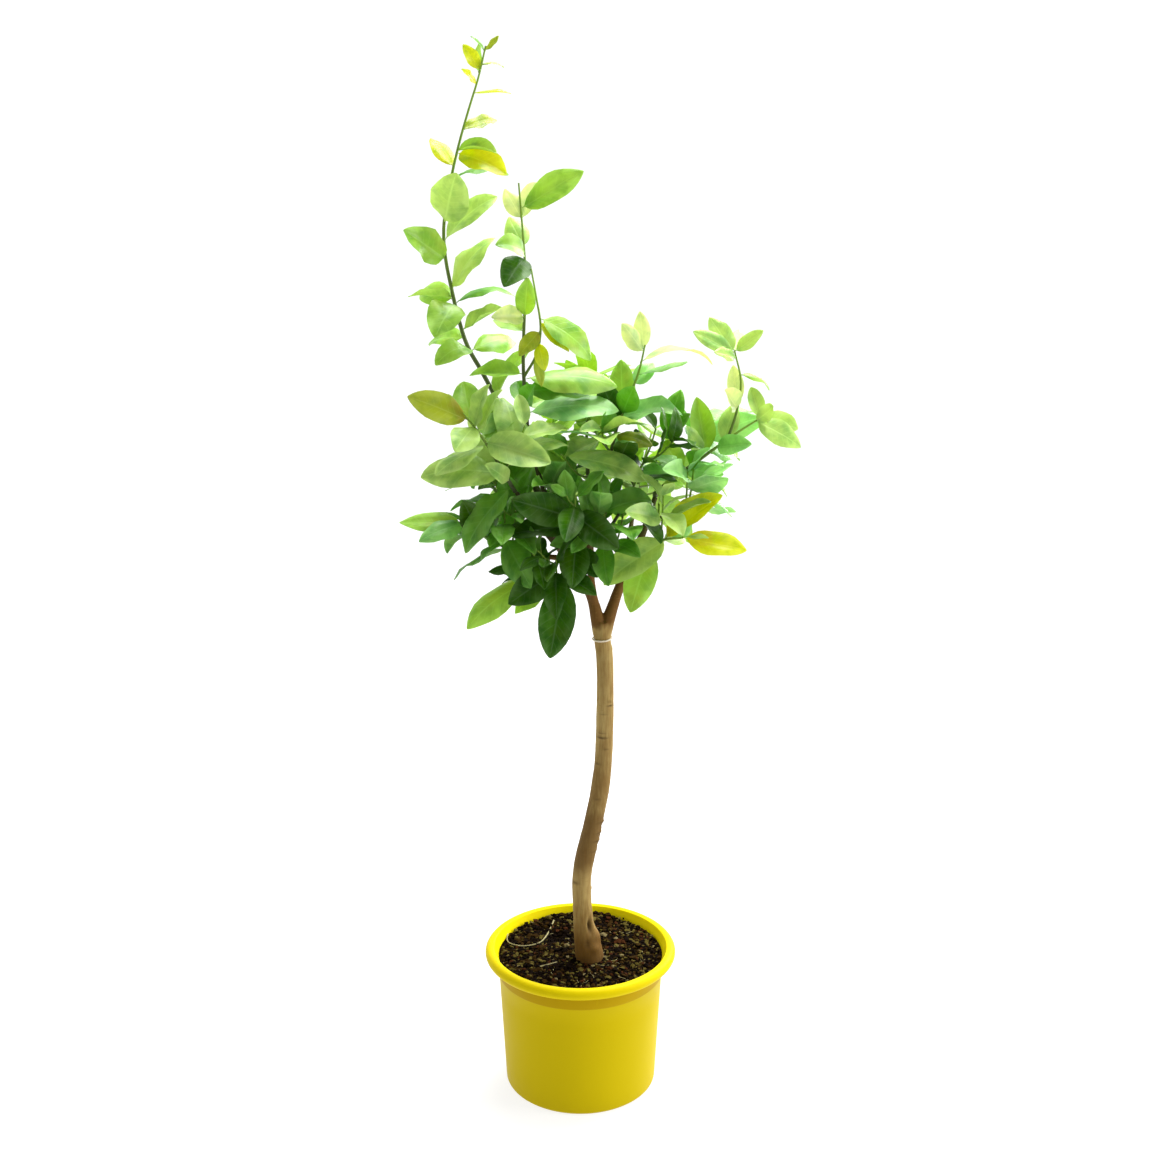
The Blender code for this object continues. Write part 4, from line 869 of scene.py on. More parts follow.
def smooth_route(points: Path, steps: int = SMOOTH_STEPS) -> Path:
    """Points along a smooth curve through a route.

    Args:
        points: The route.
        steps: How many points each stretch gets.

    Returns:
        The curve's points, with the route's own ends.
    """
    ends = [points[0] * 2 - points[1], *points, points[-1] * 2 - points[-2]]
    found = []
    for a, b, c, d in zip(ends, ends[1:], ends[2:], ends[3:]):
        for i in range(steps):
            t = i / steps
            found.append(0.5 * (2 * b + (c - a) * t + (2 * a - 5 * b + 4 * c - d) * t**2
                                + (3 * b - a - 3 * c + d) * t**3))
    return [*found, points[-1].copy()]


def measured(path: Path) -> list[float]:
    """How far along a path each of its points is, from 0 to 1."""
    run = list(accumulate(((b - a).length for a, b in zip(path, path[1:])), initial=0.0))
    return [r / run[-1] for r in run]


def point_at(path: Path, share: float) -> Vector:
    """Finds a place on a path.

    Args:
        path: The path.
        share: How far along it is, from 0 to 1.

    Returns:
        The place.
    """
    run = measured(path)
    for a, b, low, high in zip(path, path[1:], run, run[1:]):
        if share <= high:
            return a.lerp(b, (share - low) / (high - low))
    return path[-1].copy()


def direction_at(path: Path, share: float) -> Vector:
    """The path's unit direction at a share of its length."""
    low, high = max(0, share - NEARBY), min(1, share + NEARBY)
    return (point_at(path, high) - point_at(path, low)).normalized()


def evened(path: Path, station: float = STATION) -> Path:
    """The same path with evenly spaced points, about a station apart."""
    count = max(2, round(sum((b - a).length for a, b in zip(path, path[1:])) / station))
    return [point_at(path, i / count) for i in range(count + 1)]


def taper(path: Path, foot: float, tip: float, extra: float = 0.0) -> list[float]:
    """Radii that fall evenly from foot to tip, fattened by extra."""
    return [foot + (tip - foot) * share + extra for share in measured(path)]


def room_of(path: Path, radii: Sequence[float], sides: int) -> Solid:
    """The room that a round limb takes, for the test of what still fits.

    Args:
        path: Its middle line.
        radii: Its radius at each point.
        sides: How many sides the room has.

    Returns:
        The vertices and faces of a closed tube.
    """
    verts, faces = [], []
    heading = (path[1] - path[0]).normalized()
    side = heading.orthogonal().normalized()
    for i, (point, radius) in enumerate(zip(path, radii)):
        ahead = path[min(i + 1, len(path) - 1)] - path[max(i - 1, 0)]
        side = heading.rotation_difference(ahead) @ side
        heading = ahead.normalized()
        other = heading.cross(side)
        for k in range(sides):
            a = math.tau * k / sides
            verts.append(point + radius * (math.cos(a) * side + math.sin(a) * other))
    for i in range(len(path) - 1):
        for k in range(sides):
            a, b = i * sides + k, i * sides + (k + 1) % sides
            faces.append((a, b, b + sides, a + sides))
    faces.append(tuple(reversed(range(sides))))
    faces.append(tuple(range(len(verts) - sides, len(verts))))
    return verts, faces


@dataclass(frozen=True)
class Leaf:
    """One leaf: its root on the twig, its reach to the tip, its upper face, its width, its arch, its tint."""

    root: Vector
    reach: Vector
    face: Vector
    width: float
    arch: float
    tint: Tint = Tint.GREEN

    def run(self) -> float:
        """The length along the midrib."""
        return self.reach.length * self.arch / (2 * math.sin(self.arch / 2))

    def spine(self, share: float) -> tuple[Vector, Vector, Vector]:
        """Follows the midrib, an arc of a circle.

        Args:
            share: How far along it, from 0 to 1.

        Returns:
            The place, the heading to the tip and the direction of the upper face.
        """
        ahead = self.reach.normalized()
        radius = self.reach.length / (2 * math.sin(self.arch / 2))
        turn = self.arch * (share - 0.5)
        lift = radius * (math.cos(turn) - math.cos(self.arch / 2))
        place = self.root + self.reach / 2 + radius * math.sin(turn) * ahead + lift * self.face
        return (place, math.cos(turn) * ahead - math.sin(turn) * self.face,
                math.cos(turn) * self.face + math.sin(turn) * ahead)

    def room(self, extra: float = 0.0, start: float = 0.0) -> Solid:
        """The room that the leaf takes, as the solids' keeled blade.

        Args:
            extra: How much fatter it is.
            start: How far from the root it starts.

        Returns:
            Its vertices and faces.
        """
        rings = [(start / self.run(), STALK_RADIUS, STALK_RADIUS)]
        for share, width in LEAF_OUTLINE:
            rings.append((share, width * self.width / 2, LEAF_THICKNESS * self.reach.length / 2))
        verts, faces = [], []
        for i, (share, half, deep) in enumerate(rings):
            place, heading, face = self.spine(share)
            side = heading.cross(face)
            top = place + (deep + extra) * face
            verts += [top - (half + extra) * side, top + (half + extra) * side, place - (deep + extra) * face]
            if i:
                a = 3 * (i - 1)
                faces += [(a + k, a + (k + 1) % 3, a + 3 + (k + 1) % 3, a + 3 + k) for k in range(3)]
        last = len(verts) - 3
        place, heading, face = self.spine(1.0)
        verts.append(place + extra * heading)
        faces += [(last + k, last + (k + 1) % 3, last + 3) for k in range(3)]
        faces.append((2, 1, 0))
        return verts, faces


def random_turn(dice: random.Random, degrees: Span) -> float:
    """A seeded angle from a span in degrees."""
    return math.radians(dice.uniform(*degrees))


def sideways(along: Vector, turn: float) -> Vector:
    """A unit direction square to another one, at an angle round it."""
    return Matrix.Rotation(turn, 3, along) @ along.orthogonal().normalized()


def facing(reach: Vector, light: Vector) -> Vector:
    """Turns a leaf's upper face as much to the light as its reach lets it.

    Args:
        reach: From the leaf's root to its tip.
        light: Where the light comes from.

    Returns:
        The direction of the upper face.
    """
    ahead = reach.normalized()
    face = light - light.dot(ahead) * ahead
    if face.length < NEARLY_UPRIGHT:
        face = face + ahead.cross(Vector((1, 0, 0)))
        face = face - face.dot(ahead) * ahead
    return face.normalized()


def marked_leaf(path: Path, row: Row, tint: Tint, swing: float, tilt: float, flatter: float) -> Leaf:
    """A marked leaf, turned a little to find room.

    Args:
        path: The twig that carries it.
        row: Its row in the twig's list.
        tint: Its tint.
        swing: Its turn round the vertical, in degrees.
        tilt: Its turn up or down, in degrees.
        flatter: The share of its arch that it keeps.

    Returns:
        The leaf.
    """
    at, x, y, z, lean, arch, *rest = row
    reach = Matrix.Rotation(math.radians(swing), 3, "Z") @ Vector((x, y, z)) / 1000
    reach = Matrix.Rotation(math.radians(tilt), 3, reach.cross(UP)) @ reach
    light = Vector((0, -math.sin(math.radians(lean)), math.cos(math.radians(lean))))
    width = (rest or [LEAF_WIDTH])[0] * reach.length
    return Leaf(point_at(path, at), reach, facing(reach, light), width, math.radians(arch) * flatter, tint)


def spiral_leaf(dice: random.Random, path: Path, share: float, turn: float) -> Leaf:
    """A seeded leaf, smaller where it is young.

    Args:
        dice: The seeded numbers.
        path: The twig that carries it.
        share: Where it leaves the twig.
        turn: Its angle round the twig.

    Returns:
        The leaf.
    """
    along = direction_at(path, share)
    out = sideways(along, turn)
    rise = random_turn(dice, LEAF_RISE) * (1 - LEAF_RISE_LOSS * share**4)
    length = LEAF_LENGTH * dice.uniform(*LEAF_SIZES) * (1 - (1 - LEAF_YOUNG) * share**3)
    heading = math.cos(rise) * along + math.sin(rise) * out + Vector((0, 0, dice.uniform(*LEAF_SINK)))
    reach = heading.normalized() * length
    root = point_at(path, share)
    light = Vector((root.x * SPREAD[0], root.y * SPREAD[1], 1)) + LEAF_TO_TIP * along
    face = Matrix.Rotation(random_turn(dice, LEAF_ROLL), 3, reach) @ facing(reach, light)
    width = LEAF_WIDTH * length * dice.uniform(*LEAF_WIDTHS)
    return Leaf(root, reach, face, width, random_turn(dice, LEAF_ARCH))


def side_path(dice: random.Random, stem: Path, share: float, turn: float, usual: float) -> Path:
    """The path of a side twig, which leaves its stem at an angle and bends upwards.

    Args:
        dice: The seeded numbers.
        stem: The path of what carries it.
        share: Where it leaves.
        turn: Its angle round the stem.
        usual: The usual length.

    Returns:
        Four points from the stem to the tip.
    """
    along = direction_at(stem, share)
    rise = random_turn(dice, SIDE_RISE)
    heading = math.cos(rise) * along + math.sin(rise) * sideways(along, turn)
    length = usual * dice.uniform(*SIDE_SIZES) * (1 - SIDE_LOSS * share)
    start = point_at(stem, share)
    middle = start + heading * length * 0.5
    end = middle + (heading + Vector((0, 0, SIDE_UPTURN))).normalized() * length * 0.5
    return [start, start + heading * FREE_OF_TWIG, middle, end]


def box_of(verts: Iterable[Vector]) -> tuple[Vector, Vector]:
    """The lowest and highest corners of the box round some points."""
    spots = np.array([tuple(v) for v in verts])
    return Vector(spots.min(axis=0)), Vector(spots.max(axis=0))


class Space:
    """What has grown so far, and whether a new piece has room."""

    def __init__(self) -> None:
        """Starts with nothing grown."""
        self.taken: list[tuple[Vector, Vector, BVHTree, str]] = []

    def add(self, piece: Solid, owner: str = "") -> None:
        """Takes the room of a piece."""
        self.taken.append((*box_of(piece[0]), BVHTree.FromPolygons(*piece), owner))

    def free(self, piece: Solid, spared: str | None = None) -> bool:
        """Whether a piece touches nothing but the wood of the spared owner.

        Args:
            piece: The room that it needs.
            spared: That owner.

        Returns:
            True where it has room.
        """
        low, high = box_of(piece[0])
        tree = BVHTree.FromPolygons(*piece)
        for other_low, other_high, other, owner in self.taken:
            near = all(low[i] <= other_high[i] and other_low[i] <= high[i] for i in range(3))
            if near and owner != spared and tree.overlap(other):
                return False
        return True


@dataclass(frozen=True)
class Wood:
    """A stem or a twig: its path, its radius at foot and tip, and how young it is at each end."""

    path: Path
    foot: float
    tip: float
    youth: Span


def trunk_path(steps: int = LIMB_STEPS) -> Path:
    """The trunk's middle line."""
    return smooth_route([Vector(p[:3]) for p in TRUNK], steps)


def trunk_radii(extra: float = 0.0, steps: int = LIMB_STEPS) -> list[float]:
    """The trunk's radii at the points of its middle line, fattened by extra."""
    return [v.x + extra for v in smooth_route([Vector((p[3], 0, 0)) for p in TRUNK], steps)]


class Growth:
    """The crown as it grows: the wood and leaves of each mass, and then its fine shoots."""

    def __init__(self) -> None:
        """Takes the room of the trunk and the boughs."""
        self.limbs = {bough.name: bough.path(LIMB_STEPS) for bough in BOUGHS}
        self.space = Space()
        self.wood: dict[str, list[Wood]] = {mass.name: [] for mass in MASSES}
        self.leaves: dict[str, list[Leaf]] = {mass.name: [] for mass in MASSES}
        self.space.add(room_of(trunk_path(), trunk_radii(CLEARANCE), BOUGH_SIDES))
        for bough in BOUGHS:
            path = self.limbs[bough.name]
            self.space.add(room_of(path, taper(path, bough.foot, bough.tip, CLEARANCE), BOUGH_SIDES))

    def grow(self) -> None:
        """Grows the wood and marked leaves of every mass, then the seeded growth, then the fine shoots."""
        for step in (self.grow_wood, self.grow_marked, self.grow_seeded, self.grow_shoots):
            for mass in MASSES:
                step(mass)

    def add_wood(self, mass: Mass, wood: Wood) -> None:
        """Keeps a stem or a twig and takes its room.

        Args:
            mass: Its mass.
            wood: The stem or twig.
        """
        room = room_of(wood.path, taper(wood.path, wood.foot, wood.tip, CLEARANCE), TWIG_SIDES)
        self.space.add(room, mass.name)
        self.wood[mass.name].append(wood)

    def grow_wood(self, mass: Mass) -> None:
        """Grows the stem, which carries on from its bough's tip, and the listed twigs.

        Args:
            mass: The mass.
        """
        bough = self.limbs[mass.bough]
        heading = (bough[-1] - bough[-2]).normalized()
        start = bough[-1] + heading * GAP
        turned = start + heading * 4 * TWIG_RADIUS
        route = evened(smooth_route([turned, *metres(mass.stem.route)]))
        stem = [start, *route]
        foot = next(b.tip for b in BOUGHS if b.name == mass.bough)
        self.add_wood(mass, Wood(stem, foot, TIP_RADIUS, STEM_YOUTH))
        for twig in mass.twigs:
            points = [point_at(stem, twig.at), *metres(twig.route)]
            self.add_wood(mass, Wood(evened(smooth_route(points)), TWIG_RADIUS, TIP_RADIUS, TWIG_YOUTH))

    def grow_marked(self, mass: Mass) -> None:
        """Grows the listed leaves, each swung a little where it has no room.

        Args:
            mass: The mass.
        """
        for twig, wood in zip((mass.stem, *mass.twigs), self.wood[mass.name]):
            for row, letter in zip(twig.marked, twig.tints):
                tint = Tint(letter)
                tries = (marked_leaf(wood.path, row, tint, *swing, flatter)
                         for swing in SWINGS for flatter in FLATTER)
                self.add_first_free(mass, tries)

    def grow_seeded(self, mass: Mass) -> None:
        """Grows leaves on the stem and on the listed twigs, and then leafy sprigs on the stem.

        Args:
            mass: The mass.
        """
        dice = random.Random(mass.seed)
        stem = self.wood[mass.name][0].path
        for twig, wood in zip((mass.stem, *mass.twigs), self.wood[mass.name]):
            self.spiral(mass, dice, wood.path, twig.leaves, STEM_BARE)
        for i in range(mass.sprigs * TRIES):
            share = (i / TRIES + dice.uniform(*SPRIG_STARTS)) / (mass.sprigs + 0.5)
            path = side_path(dice, stem, share, dice.uniform(0, math.tau), SPRIG_LENGTH)
            guard = room_of(path[1:], taper(path[1:], SPRIG_RADIUS, TIP_RADIUS, CLEARANCE), TWIG_SIDES)
            if self.space.free(guard):
                self.add_wood(mass, Wood(path, SPRIG_RADIUS, TIP_RADIUS, SPRIG_YOUTH))
                self.spiral(mass, dice, path, SPRIG_LEAVES, SIDE_BARE)
            if len(self.wood[mass.name]) > len(mass.twigs) + mass.sprigs:
                break

    def grow_shoots(self, mass: Mass) -> None:
        """Grows short fine shoots with small leaves on every twig, inside the reach that the mass has.

        Args:
            mass: The mass.
        """
        dice = random.Random(mass.seed + SHOOT_SEED)
        tips = [leaf.root + leaf.reach for leaf in self.leaves[mass.name]]
        low, high = box_of([*tips, *(p for wood in self.wood[mass.name] for p in wood.path)])
        for wood in list(self.wood[mass.name]):
            grown = 0
            for _ in range(mass.shoots * TRIES):
                share = dice.uniform(*SHOOT_STARTS)
                path = side_path(dice, wood.path, share, dice.uniform(0, math.tau), SHOOT_LENGTH)
                radii = taper(path[1:], SHOOT_RADIUS, SHOOT_RADIUS / 2, CLEARANCE)
                inside = all(low[i] <= path[-1][i] <= high[i] for i in range(3))
                if grown < mass.shoots and inside and self.space.free(room_of(path[1:], radii, TWIG_SIDES)):
                    self.add_wood(mass, Wood(path, SHOOT_RADIUS, SHOOT_RADIUS / 2, SHOOT_YOUTH))
                    self.spiral(mass, dice, path, SHOOT_LEAVES, SIDE_BARE, SHOOT_LEAF)
                    grown += 1

    def spiral(self, mass: Mass, dice: random.Random, path: Path, leaves: int, bare: float,
               size: float = 1.0) -> None:
        """A seeded spiral of leaves from the end of a twig's bare foot to its tip.

        Args:
            mass: The twig's mass.
            dice: The seeded numbers.
            path: The twig.
            leaves: How many leaves it has.
            bare: The share of it that is bare.
            size: The leaves' size as a share of the usual one.
        """
        turn = dice.uniform(0, math.tau)
        tint = self.spray_tint(mass, path)
        for i in range(leaves):
            share = bare + (1 - bare) * min(1.0, (i + dice.uniform(*SPIRAL_STARTS)) / leaves)
            turn += SPIRAL
            tries = (spiral_leaf(dice, path, share, turn + random_turn(dice, SPIRAL_PLAY))
                     for _ in range(TRIES))
            sized = (replace(leaf, reach=leaf.reach * size, width=leaf.width * size, tint=tint)
                     for leaf in tries)
            self.add_first_free(mass, sized)

    def spray_tint(self, mass: Mass, path: Path) -> Tint:
        """Deals out a seeded spray's tint by how far along the stem it ends.

        Args:
            mass: The spray's mass.
            path: The twig that carries it.

        Returns:
            The tint.
        """
        stem = self.wood[mass.name][0].path
        run = measured(stem)
        nearest = min(range(len(stem)), key=lambda i: (stem[i] - path[-1]).length)
        return Tint(mass.shades[min(len(mass.shades) - 1, int(run[nearest] * len(mass.shades)))])

    def add_first_free(self, mass: Mass, tries: Iterable[Leaf]) -> None:
        """Gives a mass the first of some leaves that has room.

        Args:
            mass: The mass.
            tries: The leaves.
        """
        for leaf in tries:
            guard = leaf.room(CLEARANCE, FREE_OF_TWIG)
            blade = leaf.room(CLEARANCE, FREE_OF_OWN_TWIG)
            if self.space.free(guard, mass.name) and self.space.free(blade):
                self.space.add(guard)
                self.leaves[mass.name].append(leaf)
                break


# Meshes.
def object_from(name: str, shape: BMesh, *finishes: Material) -> Object:
    """Makes an object of a bmesh, which is freed.

    Args:
        name: Its name.
        shape: The bmesh.
        finishes: Its materials.

    Returns:
        The object.
    """
    mesh = bpy.data.meshes.new(name)
    shape.to_mesh(mesh)
    shape.free()
    return object_of(name, mesh, *finishes)


def object_of(name: str, mesh: Mesh, *finishes: Material,
              sharp: float = 50.0) -> Object:
    """Makes an object of a mesh, smooth but for its sharp edges.

    Args:
        name: Its name.
        mesh: The mesh.
        finishes: Its materials.
        sharp: The angle from which an edge is sharp, in degrees.

    Returns:
        The object, linked to the scene.
    """
    for finish in finishes:
        mesh.materials.append(finish)
    mesh.shade_smooth()
    mesh.set_sharp_from_angle(angle=math.radians(sharp))
    obj = bpy.data.objects.new(name, mesh)
    bpy.context.scene.collection.objects.link(obj)
    return obj


def hand_over(obj: Object, slot: str, *nodes: str) -> None:
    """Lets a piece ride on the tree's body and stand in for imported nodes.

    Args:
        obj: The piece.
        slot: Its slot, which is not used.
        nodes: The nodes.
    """
    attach(obj, BODY)
    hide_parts(*nodes)
    log.info("%s: %d faces, for %s", obj.name, len(obj.data.polygons), ", ".join(nodes))


def apply_modifiers(obj: Object) -> None:
    """Makes what the modifiers show an object's own mesh.

    Args:
        obj: The object.
    """
    graph = bpy.context.evaluated_depsgraph_get()
    mesh = bpy.data.meshes.new_from_object(obj.evaluated_get(graph))
    obj.modifiers.clear()
    old, obj.data = obj.data, mesh
    bpy.data.meshes.remove(old)


def limb(path: Path, radii: Sequence[float], sides: int) -> BMesh:
    """A closed round limb, made by extruding a ring along a path.

    Args:
        path: Its middle line.
        radii: Its radius at each point.
        sides: How many sides the ring has.

    Returns:
        The limb as a new bmesh.
    """
    shape = bmesh.new()
    heading = (path[1] - path[0]).normalized()
    turn = UP.rotation_difference(heading).to_matrix().to_4x4()
    bmesh.ops.create_circle(shape, segments=sides, radius=radii[0], matrix=Matrix.Translation(path[0]) @ turn)
    ring = list(shape.edges)
    rims = [ring]
    for i in range(1, len(path)):
        ahead = path[min(i + 1, len(path) - 1)] - path[i - 1]
        turn = heading.rotation_difference(ahead).to_matrix().to_4x4()
        heading = ahead.normalized()
        made = bmesh.ops.extrude_edge_only(shape, edges=ring)["geom"]
        verts = {g for g in made if isinstance(g, BMVert)}
        ring = [g for g in made if isinstance(g, BMEdge) and set(g.verts) <= verts]
        scale = Matrix.Scale(radii[i] / radii[i - 1], 4)
        move = Matrix.Translation(path[i]) @ turn @ scale @ Matrix.Translation(-path[i - 1])
        bmesh.ops.transform(shape, matrix=move, verts=list(verts))
    rims.append(ring)
    for rim in rims:
        bmesh.ops.contextual_create(shape, geom=rim)
    bmesh.ops.recalc_face_normals(shape, faces=shape.faces)
    return shape


def turned(profile: Profile, steps: int) -> BMesh:
    """A closed body turned round Z.

    Args:
        profile: Its outline as radius and height, from axis to axis.
        steps: How many steps a turn has.

    Returns:
        The body as a new bmesh.
    """
    shape = bmesh.new()
    points = [shape.verts.new((r, 0, z)) for r, z in profile]
    edges = [shape.edges.new(pair) for pair in zip(points, points[1:])]
    bmesh.ops.spin(shape, geom=[*points, *edges], cent=(0, 0, 0), axis=(0, 0, 1), angle=math.tau,
                   steps=steps, use_merge=True)
    bmesh.ops.remove_doubles(shape, verts=shape.verts, dist=1e-6)
    bmesh.ops.recalc_face_normals(shape, faces=shape.faces)
    return shape


def arc(centre: Span, radius: float, start: float, end: float, steps: int) -> Profile:
    """Points on an arc of a profile, with angles in degrees."""
    angles = [math.radians(start + (end - start) * i / steps) for i in range(steps + 1)]
    return [(centre[0] + radius * math.cos(a), centre[1] + radius * math.sin(a)) for a in angles]


def ramp(value: float, low: float, high: float) -> float:
    """How far a value has come from low to high, from 0 to 1."""
    return min(1.0, max(0.0, (value - low) / (high - low)))


def from_trunk(x: float, y: float) -> float:
    """The distance of a place from the trunk's foot."""
    return (Vector((x, y)) - Vector(TRUNK[0][:2])).length


class Gathering:
    """Many small shapes gathered as arrays and joined into one mesh."""

    def __init__(self) -> None:
        """Starts with no shapes."""
        self.points: list[np.ndarray] = []
        self.faces: Faces = []
        self.slots: list[int] = []
        self.values: list[np.ndarray] = []
        self.maps: list[np.ndarray] = []
        self.count = 0

    def add(self, points: np.ndarray, faces: Faces, slots: int | Sequence[int] = 0,
            values: np.ndarray | float = 0.0, maps: np.ndarray | None = None) -> None:
        """Adds one shape.

        Args:
            points: Its vertices, a row each.
            faces: Its faces.
            slots: The material slot of all its faces, or of each.
            values: A number for all its vertices, or for each.
            maps: Where each vertex is on the map.
        """
        self.points.append(points)
        self.faces += [tuple(i + self.count for i in face) for face in faces]
        self.slots += [slots] * len(faces) if isinstance(slots, int) else slots
        self.values.append(np.broadcast_to(values, len(points)))
        self.maps.append(np.zeros((len(points), 2)) if maps is None else maps)
        self.count += len(points)

    def mesh(self, name: str, attribute: str = "") -> Mesh:
        """Joins what was gathered.

        Args:
            name: The mesh's name.
            attribute: The name that the vertices' numbers get, if any.

        Returns:
            The mesh, with its map.
        """
        mesh = bpy.data.meshes.new(name)
        mesh.from_pydata(np.concatenate(self.points), [], self.faces)
        mesh.polygons.foreach_set("material_index", self.slots)
        corners = np.empty(len(mesh.loops), np.int32)
        mesh.loops.foreach_get("vertex_index", corners)
        layer = mesh.uv_layers.new(name="map")
        layer.data.foreach_set("uv", np.concatenate(self.maps)[corners].ravel())
        if attribute:
            made = mesh.attributes.new(attribute, "FLOAT", "POINT")
            made.data.foreach_set("value", np.concatenate(self.values).astype(np.float32))
        mesh.validate()
        return mesh


def arrays_of(shape: BMesh) -> Arrays:
    """Turns a bmesh into arrays and frees it.

    Args:
        shape: The bmesh.

    Returns:
        Its vertices and faces.
    """
    shape.verts.index_update()
    points = np.array([tuple(v.co) for v in shape.verts])
    faces = [tuple(v.index for v in f.verts) for f in shape.faces]
    shape.free()
    return points, faces


def new_ball() -> BMesh:
    """Makes a ball of few faces, with a radius of 1.

    Returns:
        The new bmesh.
    """
    shape = bmesh.new()
    bmesh.ops.create_icosphere(shape, subdivisions=1, radius=1.0)
    return shape


@dataclass
class Pot:
    """The tapered pot: a rolled rim, a step under its neck, and drain holes in its floor.

    The floor has one ring below and one above, as shares of its radius. The base, the rim and the lip are
    rounded in so many steps. Each dent has its angle in degrees, its height, its width and its depth.
    """

    height: float = 0.19
    rim_radius: float = 0.125
    rim_depth: float = 0.014
    rim_width: float = 0.012
    neck_radius: float = 0.1095
    neck_depth: float = 0.034
    step: float = 0.0012
    step_rounding: Span = (0.0004, 0.001)
    base_radius: float = 0.1005
    base_rounding: float = 0.005
    lip_rounding: float = 0.002
    wall: float = 0.0025
    wall_rings: int = 6
    floor_rings: Span = (0.6, 0.5)
    roll_start: float = -80
    round_steps: tuple[int, int, int] = (6, 12, 4)
    steps: int = 144
    drain_holes: int = 8
    drain_radius: float = 0.006
    drain_circle: float = 0.07
    drain_sides: int = 20
    dents: tuple[tuple[float, float, float, float], ...] = (
        (-116, 0.016, 0.02, 0.0014), (-84, 0.012, 0.024, 0.0009), (-60, 0.02, 0.02, 0.0007))
    dent_tall: float = 0.8
    finish: PlasticFinish = PlasticFinish()

    def wall_radius(self, height: float) -> float:
        """The wall's outer radius, a step wider above the neck's line.

        Args:
            height: The height, below the rim.

        Returns:
            The radius there.
        """
        top = self.height - self.rim_depth
        share = (height - self.base_rounding) / (top - self.base_rounding)
        plain = self.base_radius + (self.neck_radius - self.base_radius) * share
        return plain if height >= self.height - self.neck_depth else plain - self.step

    def inner_wall(self, clear: float) -> Profile:
        """The inside of the wall.

        Args:
            clear: How far it is drawn in.

        Returns:
            Points from top to bottom.
        """
        line = self.height - self.neck_depth - self.wall
        foot = self.wall_radius(self.base_rounding)
        return [(self.rim_radius - self.rim_width - clear, self.height - self.wall),
                (self.neck_radius - self.wall - clear, self.height - self.rim_depth),
                (self.wall_radius(line) - self.wall - clear, line),
                (foot - self.wall - clear, self.base_rounding)]

    def profile(self) -> Profile:
        """The pot's outline.

        Returns:
            Points from the middle of its underside round to its floor's.
        """
        line, under = self.height - self.neck_depth, self.height - self.rim_depth
        base, roll, lip = self.base_rounding, self.rim_depth / 2, self.lip_rounding
        foot, low, high = self.wall_radius(base), self.wall_radius(line - self.step), self.wall_radius(line)
        floor = foot - base
        out, up = self.step_rounding
        below, above = (share * floor for share in self.floor_rings)
        base_steps, roll_steps, lip_steps = self.round_steps
        shares = [i / self.wall_rings for i in range(1, self.wall_rings + 1)]
        body = [(low + (foot - low) * (1 - share), base + (line - self.step - base) * share)
                for share in shares]
        return [(0.0, 0.0), (below, 0.0), *arc((floor, base), base, -90, 0, base_steps), *body,
                (high, line), (high + out, line + up), (self.wall_radius(under), under - up),
                *arc((self.rim_radius - roll, self.height - roll), roll, self.roll_start, 90, roll_steps),
                *arc((self.rim_radius - self.rim_width + lip, self.height - lip), lip, 90, 180, lip_steps),
                *self.inner_wall(0.0)[1:], (floor, self.wall), (above, self.wall), (0.0, self.wall)]

    def dent(self, shape: BMesh) -> None:
        """Presses the shallow dents of use into the wall below the neck.

        Args:
            shape: The turned pot.
        """
        outside = self.wall_radius(self.base_rounding) - 0.8 * self.wall
        for vert in shape.verts:
            radius = vert.co.xy.length
            if radius < outside or vert.co.z > self.height - self.neck_depth:
                continue
            angle = math.atan2(vert.co.y, vert.co.x)
            press = 0.0
            for place, height, width, depth in self.dents:
                away = (angle - math.radians(place) + math.pi) % math.tau - math.pi
                rise = (vert.co.z - height) / (width * self.dent_tall)
                press += depth * math.exp(-((away * radius / width) ** 2 + rise**2))
            vert.co.xy *= (radius - press) / radius

    def drill(self, number: int) -> Object:
        """Makes the cutter of one drain hole.

        Args:
            number: The hole's number.

        Returns:
            The cutter.
        """
        angle = math.tau * (number + 0.5) / self.drain_holes
        spot = (self.drain_circle * math.cos(angle), self.drain_circle * math.sin(angle), self.wall / 2)
        shape = bmesh.new()
        bmesh.ops.create_cone(shape, cap_ends=True, segments=self.drain_sides, radius1=self.drain_radius,
                              radius2=self.drain_radius, depth=4 * self.wall,
                              matrix=Matrix.Translation(spot))
        return object_from(f"drill_{number}", shape)

    def build(self) -> None:
        """Turns, dents and drills the pot."""
        shape = turned(self.profile(), self.steps)
        self.dent(shape)
        pot = object_from("yellow_pot", shape, self.finish.material())
        cutters = [self.drill(number) for number in range(self.drain_holes)]
        for cutter in cutters:
            cut = pot.modifiers.new("drain", "BOOLEAN")
            cut.operation = "DIFFERENCE"
            cut.object = cutter
        apply_modifiers(pot)
        for cutter in cutters:
            bpy.data.objects.remove(cutter)
        hand_over(pot, "pot_plastic", "pot")


